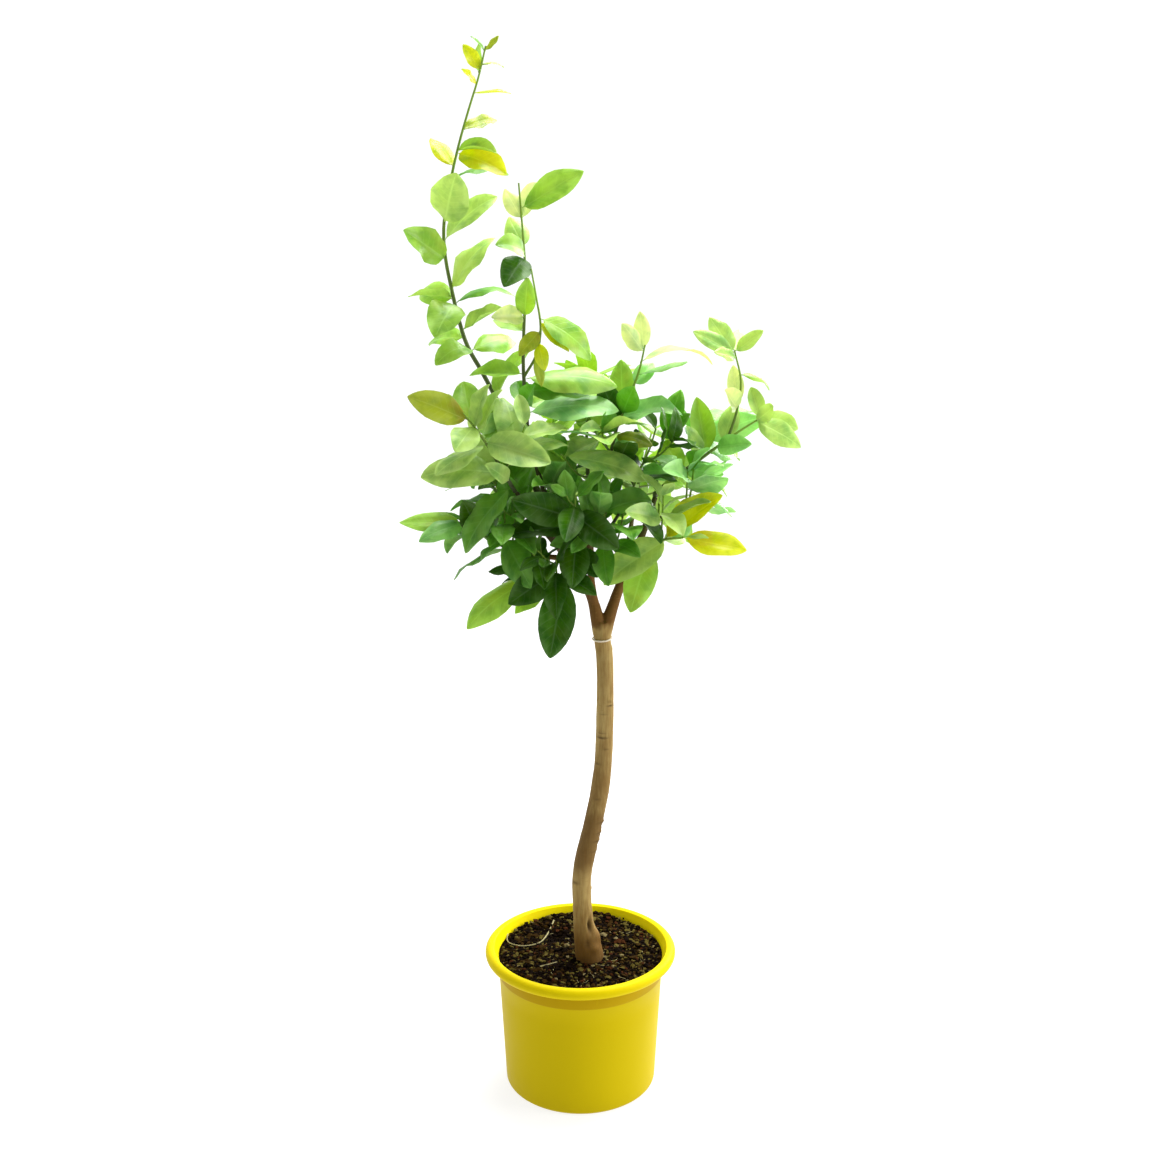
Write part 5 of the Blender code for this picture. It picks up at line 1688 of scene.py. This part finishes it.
@dataclass
class Soil:
    """The potting mix: a lumpy top, crumbs of several kinds on it, and a few bare roots.

    The top is level within the first distance of calm from the trunk's foot and rough from the second on.
    Grit fades out over the radii of grit_fade. More crumbs, as many as bank_count says, lie against the back
    wall, where the top banks up. The hollow has its place, its width and its depth, and only dark crumbs, as
    painted shade, where it is deep. A laid root has its lift over the top, its radius and its route. Fibres are
    seeded roots.
    """

    pot: Pot
    rings: int = 44
    steps: int = 180
    drop: float = 0.001
    lump: float = 0.0028
    lump_scale: float = 22
    lump_layer: float = 3.1
    grit: float = 0.0016
    grit_scale: float = 95
    grit_layer: float = 0.7
    grit_form: tuple[float, float, int] = (0.8, 2.0, 4)
    grit_fade: Span = (0.112, 0.1)
    calm: Span = (0.0225, 0.0525)
    bank_rise: float = 0.0035
    bank_reach: float = 0.09
    hollow: tuple[float, float, float, float] = (-0.034, 0.047, 0.017, 0.007)
    hollow_painted_shade: float = 0.4
    crumb_count: int = 4200
    crumb_forms: int = 6
    crumb_lumps: Span = (0.65, 1.25)
    crumb_sizes: Span = (0.0009, 0.0042)
    crumb_play: Span = (0.6, 1.0)
    crumb_tilt: Span = (-0.6, 0.6)
    crumb_length: Span = (0.8, 1.7)
    crumb_height: Span = (0.45, 0.9)
    crumb_lift: float = 0.25
    crumb_margin: float = 0.004
    crumb_sharp: float = 30
    bank_count: int = 260
    bank_margin: float = 0.008
    bank_depth: float = 0.04
    seed: int = 4
    laid: tuple[tuple[float, float, tuple[Span, ...]], ...] = (
        (0.0026, 0.0011, (
            (-0.0368, 0.0848), (-0.0443, 0.0558), (-0.0529, 0.0276), (-0.066, 0.019), (-0.0819, 0.0166),
            (-0.0971, 0.0276), (-0.0982, 0.0501), (-0.095, 0.0673))),
        (0.0016, 0.001, ((-0.0522, -0.0396), (-0.041, -0.0345), (-0.0304, -0.0265))),
    )
    fibres: int = 20
    fibre_points: int = 4
    fibre_spread: float = 0.095
    fibre_pitch: float = 0.006
    fibre_bend: Span = (-0.9, 0.9)
    fibre_lift: Span = (0.0004, 0.002)
    fibre_radius: Span = (0.00025, 0.00045)
    root_taper: float = 0.6
    root_sides: int = 6
    finish: SoilFinish = SoilFinish()
    crumb_finishes: tuple[CrumbFinish, ...] = (
        CrumbFinish("crumb_dark", (0.005, 0.002, 0.0006)),
        CrumbFinish("crumb_brown", (0.032, 0.016, 0.002)),
        CrumbFinish("crumb_bark", (0.052, 0.016, 0.004)),
        CrumbFinish("crumb_moss", (0.105, 0.082, 0.017)),
        CrumbFinish("crumb_pale", (0.2, 0.16, 0.07)),
    )
    crumb_shares: tuple[float, ...] = (0.52, 0.23, 0.07, 0.165, 0.015)
    root_finish: CrumbFinish = CrumbFinish("bare_root", (0.42, 0.38, 0.19), 0.7)

    def top_at(self, x: float, y: float) -> float:
        """The soil's height: level where the trunk stands, lumpy elsewhere.

        Args:
            x: The place to the right of the middle.
            y: The place behind it.

        Returns:
            The height there.
        """
        low = noise.noise(Vector((x * self.lump_scale, y * self.lump_scale, self.lump_layer)))
        spot = Vector((x * self.grit_scale, y * self.grit_scale, self.grit_layer))
        fine = noise.fractal(spot, *self.grit_form)
        rough = ramp(from_trunk(x, y), *self.calm)
        edge = ramp(math.hypot(x, y), *self.grit_fade)
        bank = self.bank_rise * ramp(y, 0.0, self.bank_reach) ** 2 - self.sunk(x, y)
        return SOIL_TOP - self.drop + bank + (self.lump * low + self.grit * fine * edge) * rough

    def sunk(self, x: float, y: float) -> float:
        """How deep the hollow behind the bare root is at a place, whose deep part has crumbs painted dark as
        shade.
        """
        left, back, width, depth = self.hollow
        return depth * math.exp(-((x - left) ** 2 + (y - back) ** 2) / width ** 2)

    def edge(self) -> float:
        """The radius where the soil's top meets the wall."""
        (top_radius, top), (neck_radius, neck), *_ = self.pot.inner_wall(2 * GAP)
        return neck_radius + (top_radius - neck_radius) * (SOIL_TOP - neck) / (top - neck)

    def build(self) -> None:
        """Makes the soil, its crumbs and its roots."""
        for piece in (self.build_bed(), self.build_crumbs(), self.build_roots()):
            hand_over(piece, "soil", "soil")

    def build_bed(self) -> Object:
        """Makes the body of soil that fills the pot, with its lumpy top.

        Returns:
            The piece.
        """
        edge = self.edge()
        foot = self.pot.wall_radius(self.pot.base_rounding) - self.pot.base_rounding - GAP
        sides = [(0.0, self.pot.wall + GAP), (foot, self.pot.wall + GAP),
                 *reversed(self.pot.inner_wall(2 * GAP)[1:])]
        rings = [(edge * (1 - i / self.rings), SOIL_TOP) for i in range(self.rings + 1)]
        shape = turned([*sides, *rings], self.steps)
        for vert in shape.verts:
            if vert.co.z > SOIL_TOP - GAP and vert.co.xy.length < edge - GAP:
                vert.co.z = self.top_at(vert.co.x, vert.co.y)
        return object_from("potting_soil", shape, self.finish.material())

    def crumb_shapes(self, dice: random.Random) -> list[Arrays]:
        """A few lumps that the crumbs are copies of.

        Args:
            dice: The seeded numbers.

        Returns:
            Each lump's vertices and faces.
        """
        shapes = []
        for _ in range(self.crumb_forms):
            shape = new_ball()
            for vert in shape.verts:
                vert.co *= dice.uniform(*self.crumb_lumps)
            shapes.append(arrays_of(shape))
        return shapes

    def crumb_spot(self, dice: random.Random, banked: bool) -> Span:
        """A place for a crumb.

        Args:
            dice: The seeded numbers.
            banked: Whether it lies against the back wall.

        Returns:
            Its x and y.
        """
        radius = (self.edge() - self.crumb_margin) * math.sqrt(dice.random())
        angle = dice.uniform(0, math.tau)
        if banked:
            radius, angle = self.edge() - self.bank_margin + radius * self.bank_depth, angle / 2
        return radius * math.cos(angle), radius * math.sin(angle)

    def build_crumbs(self) -> Object:
        """Makes the crumbs, copies of a few lumps scattered over the top.

        Returns:
            The piece.
        """
        dice = random.Random(self.seed)
        shapes = self.crumb_shapes(dice)
        kinds = range(len(self.crumb_finishes))
        gathering = Gathering()
        for count in range(self.crumb_count + self.bank_count):
            banked = count >= self.crumb_count
            x, y = self.crumb_spot(dice, banked)
            if from_trunk(x, y) < TRUNK[0][3]:
                continue
            kind = dice.choices(kinds, self.crumb_shares)[0]
            # Painted shade: only dark crumbs where the hollow is deep.
            if self.sunk(x, y) > self.hollow[3] * self.hollow_painted_shade:
                kind = 0
            size = dice.uniform(*self.crumb_sizes) * dice.uniform(*self.crumb_play)
            lift = dice.uniform(0.0, self.bank_rise) if banked else size * self.crumb_lift
            turn = Matrix.Rotation(dice.uniform(0, math.tau), 3, "Z") @ Matrix.Rotation(
                dice.uniform(*self.crumb_tilt), 3, "X")
            stretch = Vector((dice.uniform(*self.crumb_length), 1.0, dice.uniform(*self.crumb_height)))
            points, faces = dice.choice(shapes)
            form = np.array(turn @ Matrix.Diagonal(stretch)).T
            spot = np.array((x, y, self.top_at(x, y) + lift))
            gathering.add(points * size @ form + spot, faces, kind)
        finishes = (finish.material() for finish in self.crumb_finishes)
        return object_of("soil_crumbs", gathering.mesh("soil_crumbs"), *finishes, sharp=self.crumb_sharp)

    def on_top(self, x: float, y: float, lift: float) -> Vector:
        """A point over the soil's top."""
        return Vector((x, y, self.top_at(x, y) + lift))

    def fibre(self, dice: random.Random) -> Path:
        """The route of one fibre.

        Args:
            dice: The seeded numbers.

        Returns:
            Its points on the soil's top.
        """
        radius, angle = self.fibre_spread * math.sqrt(dice.random()), dice.uniform(0, math.tau)
        x, y, turn = radius * math.cos(angle), radius * math.sin(angle), dice.uniform(0, math.tau)
        route = []
        for _ in range(self.fibre_points):
            route.append(self.on_top(x, y, dice.uniform(*self.fibre_lift)))
            x += self.fibre_pitch * math.cos(turn)
            y += self.fibre_pitch * math.sin(turn)
            turn += dice.uniform(*self.fibre_bend)
        return route

    def build_roots(self) -> Object:
        """Makes the long bent root that lies bare on the left, a straw, and short fibres.

        Returns:
            The piece.
        """
        dice = random.Random(self.seed + 1)
        gathering = Gathering()
        routes = [([self.on_top(x, y, lift) for x, y in route], radius) for lift, radius, route in self.laid]
        routes += [(self.fibre(dice), dice.uniform(*self.fibre_radius)) for _ in range(self.fibres)]
        for route, radius in routes:
            path = smooth_route(route)
            radii = taper(path, radius, radius * self.root_taper)
            gathering.add(*arrays_of(limb(path, radii, self.root_sides)))
        return object_of("bare_roots", gathering.mesh("bare_roots"), self.root_finish.material())


@dataclass(frozen=True)
class Scar:
    """A mark on the trunk: its place, how wide, how tall and how high it stands, and how dark it is."""

    spot: Spot
    width: float
    tall: float
    lift: float
    stain: float = 0.0


@dataclass
class Limbs:
    """The trunk and its boughs as one skin, with the bark's relief.

    Where a bough leaves, it is wider by its collar, which ends at a share of its length. The relief is whole
    up to the first of fade_heights and falls to its least share below the second. The flare and its soiling
    lie round the soil's top, the flare in lobes.
    """

    voxel: float = 0.0011
    sides: int = 28
    trunk_steps: int = 4
    bough_steps: int = 6
    sunk: float = 0.004
    collar: float = 1.25
    collar_share: float = 0.2
    blend: float = 0.5
    blend_times: int = 4
    grain: float = 0.00028
    grain_scale: Spot = (260, 260, 34)
    grain_form: tuple[float, float, int] = (0.8, 2.1, 4)
    lumps: float = 0.0006
    lump_scale: Spot = (40, 40, 30)
    fade_heights: Span = (0.62, 0.72)
    least_relief: float = 0.25
    least_scar: float = 0.5
    scar_reach: float = 3
    flare: float = 0.0008
    flare_height: float = 0.014
    flare_lobes: int = 5
    flare_turn: float = 0.8
    soiling: float = 0.35
    scars: tuple[Scar, ...] = (
        Scar((0.023, -0.017, 0.212), 0.0085, 0.011, 0.0046),
        Scar((0.019, -0.026, 0.197), 0.006, 0.006, 0.0028),
        Scar((0.013, -0.023, 0.228), 0.0032, 0.009, -0.0055, 1.0),
        Scar((0.009, -0.026, 0.204), 0.0034, 0.006, -0.0014, 0.6),
        Scar((0.039, -0.006, 0.528), 0.0045, 0.0022, 0.0013, 0.2),
        Scar((0.0385, -0.0062, 0.523), 0.0045, 0.0012, -0.0008, 0.8),
        Scar((0.02, -0.003, 0.529), 0.003, 0.0025, 0.0012),
        Scar((0.029, -0.0105, 0.512), 0.0065, 0.0009, 0.0004, 0.35),
        Scar((0.027, -0.0105, 0.481), 0.008, 0.0014, 0.0008, 0.85),
        Scar((0.027, -0.0105, 0.487), 0.007, 0.001, 0.0006, 0.4),
        Scar((0.019, -0.011, 0.446), 0.0055, 0.0017, 0.0008, 0.9),
        Scar((0.033, -0.009, 0.466), 0.0035, 0.001, 0.0004, 0.45),
        Scar((0.042, 0.0, 0.597), 0.003, 0.003, 0.0012),
        Scar((0.033, 0.0, 0.405), 0.004, 0.002, 0.0012, 0.3),
        Scar((0.023, -0.012, 0.4), 0.0045, 0.0014, 0.0005, 0.45),
        Scar((0.027, -0.008, 0.368), 0.006, 0.0018, 0.0014, 0.6),
        Scar((0.029, -0.005, 0.361), 0.005, 0.0016, -0.0012, 0.85),
        Scar((0.024, -0.011, 0.354), 0.006, 0.0013, 0.0013, 0.45),
        Scar((0.0205, -0.012, 0.343), 0.006, 0.0014, 0.0013, 0.6),
        Scar((0.021, -0.008, 0.336), 0.005, 0.002, -0.001, 0.8),
        Scar((0.017, -0.012, 0.329), 0.006, 0.0012, 0.0008, 0.45),
        Scar((-0.004, -0.016, 0.287), 0.0055, 0.0022, 0.0007, 0.85),
        Scar((0.015, -0.01, 0.276), 0.003, 0.0028, 0.0012, 0.35),
    )
    finish: BarkFinish = BarkFinish()

    def skin(self) -> Object:
        """Joins the limbs into one closed skin.

        Returns:
            The smooth piece.
        """
        gathering = Gathering()
        trunk = trunk_path(self.trunk_steps)
        trunk[0].z -= self.sunk
        gathering.add(*arrays_of(limb(trunk, trunk_radii(0.0, self.trunk_steps), self.sides)))
        for bough in BOUGHS:
            path = bough.path(self.bough_steps)
            radii = [radius * (1 + (self.collar - 1) * ramp(share, self.collar_share, 0.0))
                     for radius, share in zip(taper(path, bough.foot, bough.tip), measured(path))]
            gathering.add(*arrays_of(limb(path, radii, self.sides)))
        skin = object_of("trunk_and_boughs", gathering.mesh("trunk_and_boughs"), self.finish.material())
        remesh = skin.modifiers.new("skin", "REMESH")
        remesh.mode = "VOXEL"
        remesh.voxel_size = self.voxel
        remesh.use_smooth_shade = True
        blend = skin.modifiers.new("blend", "SMOOTH")
        blend.factor = self.blend
        blend.iterations = self.blend_times
        apply_modifiers(skin)
        return skin

    def relief(self, spot: Vector) -> Span:
        """The bark's relief at a place, and how stained it is.

        Args:
            spot: The place on the smooth skin.

        Returns:
            The height over the skin, and the stain from 0 to 1.
        """
        start, end = self.fade_heights
        whole = max(self.least_relief, ramp(spot.z, end, start))
        rise = self.grain * noise.fractal(spot * Vector(self.grain_scale), *self.grain_form)
        rise += self.lumps * noise.noise(spot * Vector(self.lump_scale))
        foot = math.exp(-((spot.z - SOIL_TOP) / self.flare_height) ** 2)
        angle = math.atan2(spot.y - TRUNK[0][1], spot.x - TRUNK[0][0])
        lobes = 0.5 + 0.5 * math.sin(self.flare_lobes * angle + self.flare_turn)
        rise += self.flare * foot * lobes
        stain = self.soiling * foot
        for scar in self.scars:
            off = spot - Vector(scar.spot)
            if abs(off.z) < self.scar_reach * scar.tall:
                near = math.exp(-(off.xy.length / scar.width) ** 2 - (off.z / scar.tall) ** 2)
                rise += scar.lift * near / max(whole, self.least_scar)
                stain = max(stain, scar.stain * near)
        return rise * whole, stain

    def build(self) -> None:
        """Makes the skin and gives it the bark's relief."""
        skin = self.skin()
        mesh = skin.data
        stains = mesh.attributes.new("stain", "FLOAT", "POINT")
        normals = [n.vector.copy() for n in mesh.vertex_normals]
        for vert, normal, stain in zip(mesh.vertices, normals, stains.data):
            rise, stain.value = self.relief(vert.co)
            vert.co += rise * normal
        mesh.update()
        hand_over(skin, "bark", "trunk", *(f"bough_{bough.name}" for bough in BOUGHS))


@dataclass
class Tie:
    """A loop of soft twine tied loosely round the trunk just under the fork.

    It sags most at an angle in degrees. Its two ends hang down at the back: a route gives the right one's
    points from there, and the left one's mirrored.
    """

    height: float = 0.605
    thickness: float = 0.001
    sag: float = 0.0012
    sag_angle: float = 230
    steps: int = 64
    sides: int = 10
    end: tuple[Spot, ...] = (
        (0.0, -0.0006, 0.0), (0.002, 0.0016, -0.001), (0.004, 0.0022, -0.004), (0.005, 0.0018, -0.008))
    finish: TieFinish = TieFinish()

    def loop(self) -> Path:
        """The middle line of the loop.

        Returns:
            Its points, from the back of the trunk round to the back again.
        """
        path, radii = trunk_path(), trunk_radii()
        at = next(i for i, p in enumerate(path) if p.z >= self.height)
        radius = radii[at] + self.thickness + GAP
        points = []
        for i in range(self.steps + 1):
            a = math.tau * i / self.steps + math.pi / 2
            droop = self.sag * math.cos(a - math.radians(self.sag_angle))
            points.append(path[at] + Vector((radius * math.cos(a), radius * math.sin(a), -droop)))
        return points

    def build(self) -> None:
        """Makes the loop and its two ends."""
        gathering = Gathering()
        loop = self.loop()
        self.add_twine(gathering, loop)
        for side in (-1, 1):
            end = [loop[0] + Vector((side * x, y, z)) for x, y, z in self.end]
            self.add_twine(gathering, smooth_route(end))
        tie = object_of("twine_tie", gathering.mesh("twine_tie"), self.finish.material())
        hand_over(tie, "tie", "trunk_tie")

    def add_twine(self, gathering: Gathering, path: Path) -> None:
        """Adds a length of twine, mapped along and round.

        Args:
            gathering: What it joins.
            path: Its middle line.
        """
        points, faces = arrays_of(limb(path, [self.thickness] * len(path), self.sides))
        along = np.repeat(measured(path), self.sides)[:len(points)]
        around = np.tile(np.arange(self.sides) / self.sides, len(path))[:len(points)]
        gathering.add(points, faces, maps=np.stack([along, around], axis=1))


@dataclass
class Blade:
    """The blade that every leaf is bent from, as shares of a leaf's length and half width.

    Fold and twist are spans in degrees from which each leaf's own is drawn, like roll, droop, the number of
    waves along the margin, and their swell.
    """

    rows: int = 13
    columns: int = 6
    stalk: float = 0.07
    stalk_radius: float = 0.00075
    thin: float = 0.00016
    midrib: float = 0.00055
    midrib_above: float = 0.3
    foot_curve: float = 0.62
    tip_curve: float = 0.8
    fullness: float = 1.12
    fold: Span = (10, 36)
    fold_line: float = 0.45
    twist: Span = (-40, 40)
    twist_from: float = 0.35
    roll: Span = (-0.1, 0.55)
    droop: Span = (0.0, 0.45)
    droop_from: float = 0.6
    waves: Span = (1.2, 2.6)
    waves_apart: float = 1.3
    swell: Span = (0.06, 0.18)

    def __post_init__(self) -> None:
        """Makes the flat blade: an upper and an under face that meet at the margin."""
        shape = bmesh.new()
        bmesh.ops.create_grid(shape, x_segments=self.columns, y_segments=self.rows, size=1.0)
        for vert in shape.verts:
            row = round((vert.co.y + 1) / 2 * self.rows)
            vert.co.y = self.station(row)
            if row in (0, self.rows):
                vert.co.x = 0.0
        copied = bmesh.ops.duplicate(shape, geom=shape.faces[:])["geom"]
        under = {g for g in copied if isinstance(g, BMVert)}
        bmesh.ops.reverse_faces(shape, faces=[g for g in copied if isinstance(g, BMFace)])
        for vert in shape.verts:
            margin = abs(abs(vert.co.x) - 1) < 1e-6 or vert.co.y in (0.0, 1.0)
            vert.co.z = 0.0 if margin else (-1.0 if vert in under else 1.0)
        bmesh.ops.remove_doubles(shape, verts=shape.verts, dist=1e-5)
        bmesh.ops.recalc_face_normals(shape, faces=shape.faces)
        points, self.faces = arrays_of(shape)
        across, share, level = points.T
        self.points = points.tolist()
        self.map = np.stack([0.5 + 0.5 * across, share], axis=1)
        self.under = [float(np.sum(level[list(face)])) < 0 for face in self.faces]

    def station(self, row: int) -> float:
        """Places a row of the blade, with the rows closer at both ends.

        Args:
            row: Its number from the root.

        Returns:
            Its share of the leaf's run.
        """
        if row == 0:
            return 0.0
        eased = 0.5 - 0.5 * math.cos(math.pi * (row - 1) / (self.rows - 1))
        return self.stalk + (1 - self.stalk) * eased

    def half(self, share: float) -> float:
        """The blade's outline.

        Args:
            share: A share of the leaf's run.

        Returns:
            The half width there, as a share of the greatest.
        """
        t = max(0.0, (share - self.stalk) / (1 - self.stalk))
        widest = self.foot_curve / (self.foot_curve + self.tip_curve)
        greatest = widest**self.foot_curve * (1 - widest) ** self.tip_curve
        return t**self.foot_curve * max(0.0, 1 - t) ** self.tip_curve / greatest

    def bent(self, leaf: Leaf, dice: random.Random) -> np.ndarray:
        """Bends the blade to a leaf.

        Args:
            leaf: The leaf.
            dice: The seeded numbers.

        Returns:
            The blade's vertices in place.
        """
        fold, twist = random_turn(dice, self.fold), random_turn(dice, self.twist)
        roll, droop = dice.uniform(*self.roll), dice.uniform(*self.droop) * leaf.run()
        waves, swell = dice.uniform(*self.waves), dice.uniform(*self.swell)
        phase = dice.uniform(0, math.tau)
        found = np.empty((len(self.points), 3))
        for i, (across, share, level) in enumerate(self.points):
            place, heading, face = leaf.spine(share)
            side = heading.cross(face)
            turn = Matrix.Rotation(twist * (share - self.twist_from), 3, heading)
            side, face = turn @ side, turn @ face
            least = self.stalk_radius if 0 < share < 1 else 0.0
            half = max(self.fullness * leaf.width / 2 * self.half(share), least)
            flat = min(1.0, half / (4 * self.stalk_radius))
            size = abs(across)
            edge = half * size**2 * flat
            wave = math.tau * waves * share + phase + (self.waves_apart if across > 0 else 0.0)
            lift = (size - self.fold_line) * half * math.sin(fold) * flat - roll * edge
            lift += swell * edge * math.sin(wave) - droop * max(0.0, share - self.droop_from) ** 2
            rib = self.midrib * max(0.0, 1 - 2 * size) * (1 - share)
            blade = self.thin + rib * (self.midrib_above if level > 0 else 1.0)
            thick = self.stalk_radius * (1 - flat) + flat * blade
            found[i] = place + across * half * math.cos(fold * flat) * side + (lift + level * thick) * face
        return found


Pairs = dict[Tint, tuple[Material, Material]]


@dataclass
class Foliage:
    """The masses of foliage, each as one piece of leaves and one of twigs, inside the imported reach."""

    growth: Growth
    reach: tuple[Vector, Vector]
    blade: Blade = field(default_factory=Blade)
    twig_sides: int = 7
    bud: float = 0.0011
    bud_form: Spot = (0.8, 0.8, 1.7)
    bud_lift: float = 0.8
    bud_youth: float = 0.8
    leaf_sharp: float = 75
    finishes: tuple[LeafFinish, ...] = LEAF_FINISHES
    twig_finish: TwigFinish = TwigFinish()

    def build(self) -> None:
        """Makes every mass."""
        pairs = {f.tint: (f.material(under=False), f.material(under=True)) for f in self.finishes}
        skin = self.twig_finish.material()
        for mass in MASSES:
            for piece in (self.build_leaves(mass, pairs), self.build_twigs(mass, skin)):
                hand_over(piece, "foliage", mass.name)

    def build_leaves(self, mass: Mass, pairs: Pairs) -> Object:
        """The leaves of one mass, bent and joined.

        Args:
            mass: The mass.
            pairs: The upper and the under faces' material for each tint.

        Returns:
            The piece, with a pair of slots for each tint that it holds.
        """
        dice = random.Random(mass.name)
        leaves = self.growth.leaves[mass.name]
        tints = sorted({leaf.tint for leaf in leaves}, key=lambda tint: tint.name)
        gathering = Gathering()
        for leaf in leaves:
            slot = 2 * tints.index(leaf.tint)
            slots = [slot + 1 if below else slot for below in self.blade.under]
            points = np.clip(self.blade.bent(leaf, dice), *self.reach)
            gathering.add(points, self.blade.faces, slots, maps=self.blade.map)
        name = f"{mass.name}_leaves"
        finishes = [finish for tint in tints for finish in pairs[tint]]
        return object_of(name, gathering.mesh(name), *finishes, sharp=self.leaf_sharp)

    def build_twigs(self, mass: Mass, skin: Material) -> Object:
        """The stem and twigs of one mass, with a bud by each leaf.

        Args:
            mass: The mass.
            skin: The twigs' material.

        Returns:
            The piece.
        """
        gathering = Gathering()
        for wood in self.growth.wood[mass.name]:
            path = smooth_route(wood.path)
            points, faces = arrays_of(limb(path, taper(path, wood.foot, wood.tip), self.twig_sides))
            shares = np.repeat(measured(path), self.twig_sides)
            foot, tip = wood.youth
            gathering.add(points, faces, values=foot + (tip - foot) * shares)
        ball, ball_faces = arrays_of(new_ball())
        for leaf in self.growth.leaves[mass.name]:
            up = (leaf.reach.normalized() + leaf.face).normalized()
            turn = UP.rotation_difference(up).to_matrix()
            form = np.array(turn @ Matrix.Diagonal(Vector(self.bud_form))).T
            spot = np.array(leaf.root + leaf.face * self.bud * self.bud_lift)
            gathering.add(ball * self.bud @ form + spot, ball_faces, values=self.bud_youth)
        name = f"{mass.name}_twigs"
        return object_of(name, gathering.mesh(name, "youth"), skin)


@dataclass(frozen=True)
class Softbox:
    """A round area light: its place, its size in metres, its power in watts and its colour."""

    name: str
    spot: Spot
    size: float
    power: float
    colour: Colour

    def build(self, target: Vector) -> None:
        """Hangs the light.

        Args:
            target: Where it points.
        """
        light = bpy.data.lights.new(self.name, "AREA")
        light.shape = "DISK"
        light.size = self.size
        light.energy = self.power
        light.color = self.colour
        lamp = bpy.data.objects.new(self.name, light)
        lamp.location = self.spot
        lamp.rotation_euler = (target - Vector(self.spot)).to_track_quat("-Z", "Y").to_euler()
        bpy.context.scene.collection.objects.link(lamp)


@dataclass
class Studio:
    """The camera, the softboxes, which point to the crown, and the pale sweep that the tree stands on."""

    lens: float = 45.92
    sensor: float = 36.0
    camera_spot: Spot = (0.01, -1.796, 1.139)
    camera_tilt: float = 75.5
    sweep_radius: float = 4.6
    sweep_curve: float = 1.4
    sweep_height: float = 5.0
    sweep_rings: int = 6
    sweep_steps: int = 48
    sky: float = 0.4
    sky_colour: Colour = (1.0, 1.0, 1.0)
    finish: FloorFinish = FloorFinish()
    crown: Spot = (0, 0, 0.75)
    softboxes: tuple[Softbox, ...] = (
        Softbox("top_softbox", (0.5, 0.7, 3.0), 2.2, 165.0, (1.0, 0.99, 0.96)),
        Softbox("back_softbox", (1.4, 1.9, 1.6), 1.8, 70.0, (1.0, 1.0, 1.0)),
        Softbox("right_softbox", (2.4, -0.5, 1.3), 1.2, 34.0, (1.0, 0.99, 0.97)),
    )

    def build_camera(self) -> None:
        """Sets up the camera at the photograph's place."""
        camera = bpy.data.objects.new("camera", bpy.data.cameras.new("camera"))
        camera.data.lens = self.lens
        camera.data.sensor_width = self.sensor
        camera.location = self.camera_spot
        camera.rotation_euler = (math.radians(self.camera_tilt), 0, 0)
        bpy.context.scene.collection.objects.link(camera)
        bpy.context.scene.camera = camera

    def build_sky(self) -> None:
        """Sets up an even sky."""
        world = bpy.data.worlds.new("studio")
        world.use_nodes = True
        sky = world.node_tree.nodes["Background"]
        sky.inputs["Color"].default_value = (*self.sky_colour, 1.0)
        sky.inputs["Strength"].default_value = self.sky
        bpy.context.scene.world = world

    def build_sweep(self) -> None:
        """Makes the sweep: a round floor that curves up into a wall, and is no lamp."""
        flat = self.sweep_radius - self.sweep_curve
        curve = arc((flat, self.sweep_curve), self.sweep_curve, -90, 0, self.sweep_rings)
        shape = turned([(0.0, 0.0), *curve, (self.sweep_radius, self.sweep_height)], self.sweep_steps)
        paper = self.finish.material()
        paper.cycles.emission_sampling = "NONE"
        sweep = object_from("studio_sweep", shape, paper)
        sweep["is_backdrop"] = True

    def build(self) -> None:
        """Sets up the whole studio."""
        self.build_camera()
        for softbox in self.softboxes:
            softbox.build(Vector(self.crown))
        self.build_sky()
        self.build_sweep()
        bpy.context.scene.view_settings.view_transform = "Standard"
        log.info("studio ready")


def main() -> None:
    """Dresses the tree piece by piece."""
    logging.basicConfig(level=logging.INFO, format="%(name)s: %(message)s")
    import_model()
    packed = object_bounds()
    Studio().build()
    pot = Pot()
    pot.build()
    Soil(pot).build()
    growth = Growth()
    growth.grow()
    log.info("%d leaves", sum(len(leaves) for leaves in growth.leaves.values()))
    Limbs().build()
    Tie().build()
    Foliage(growth, packed).build()


if __name__ == "__main__":
    main()
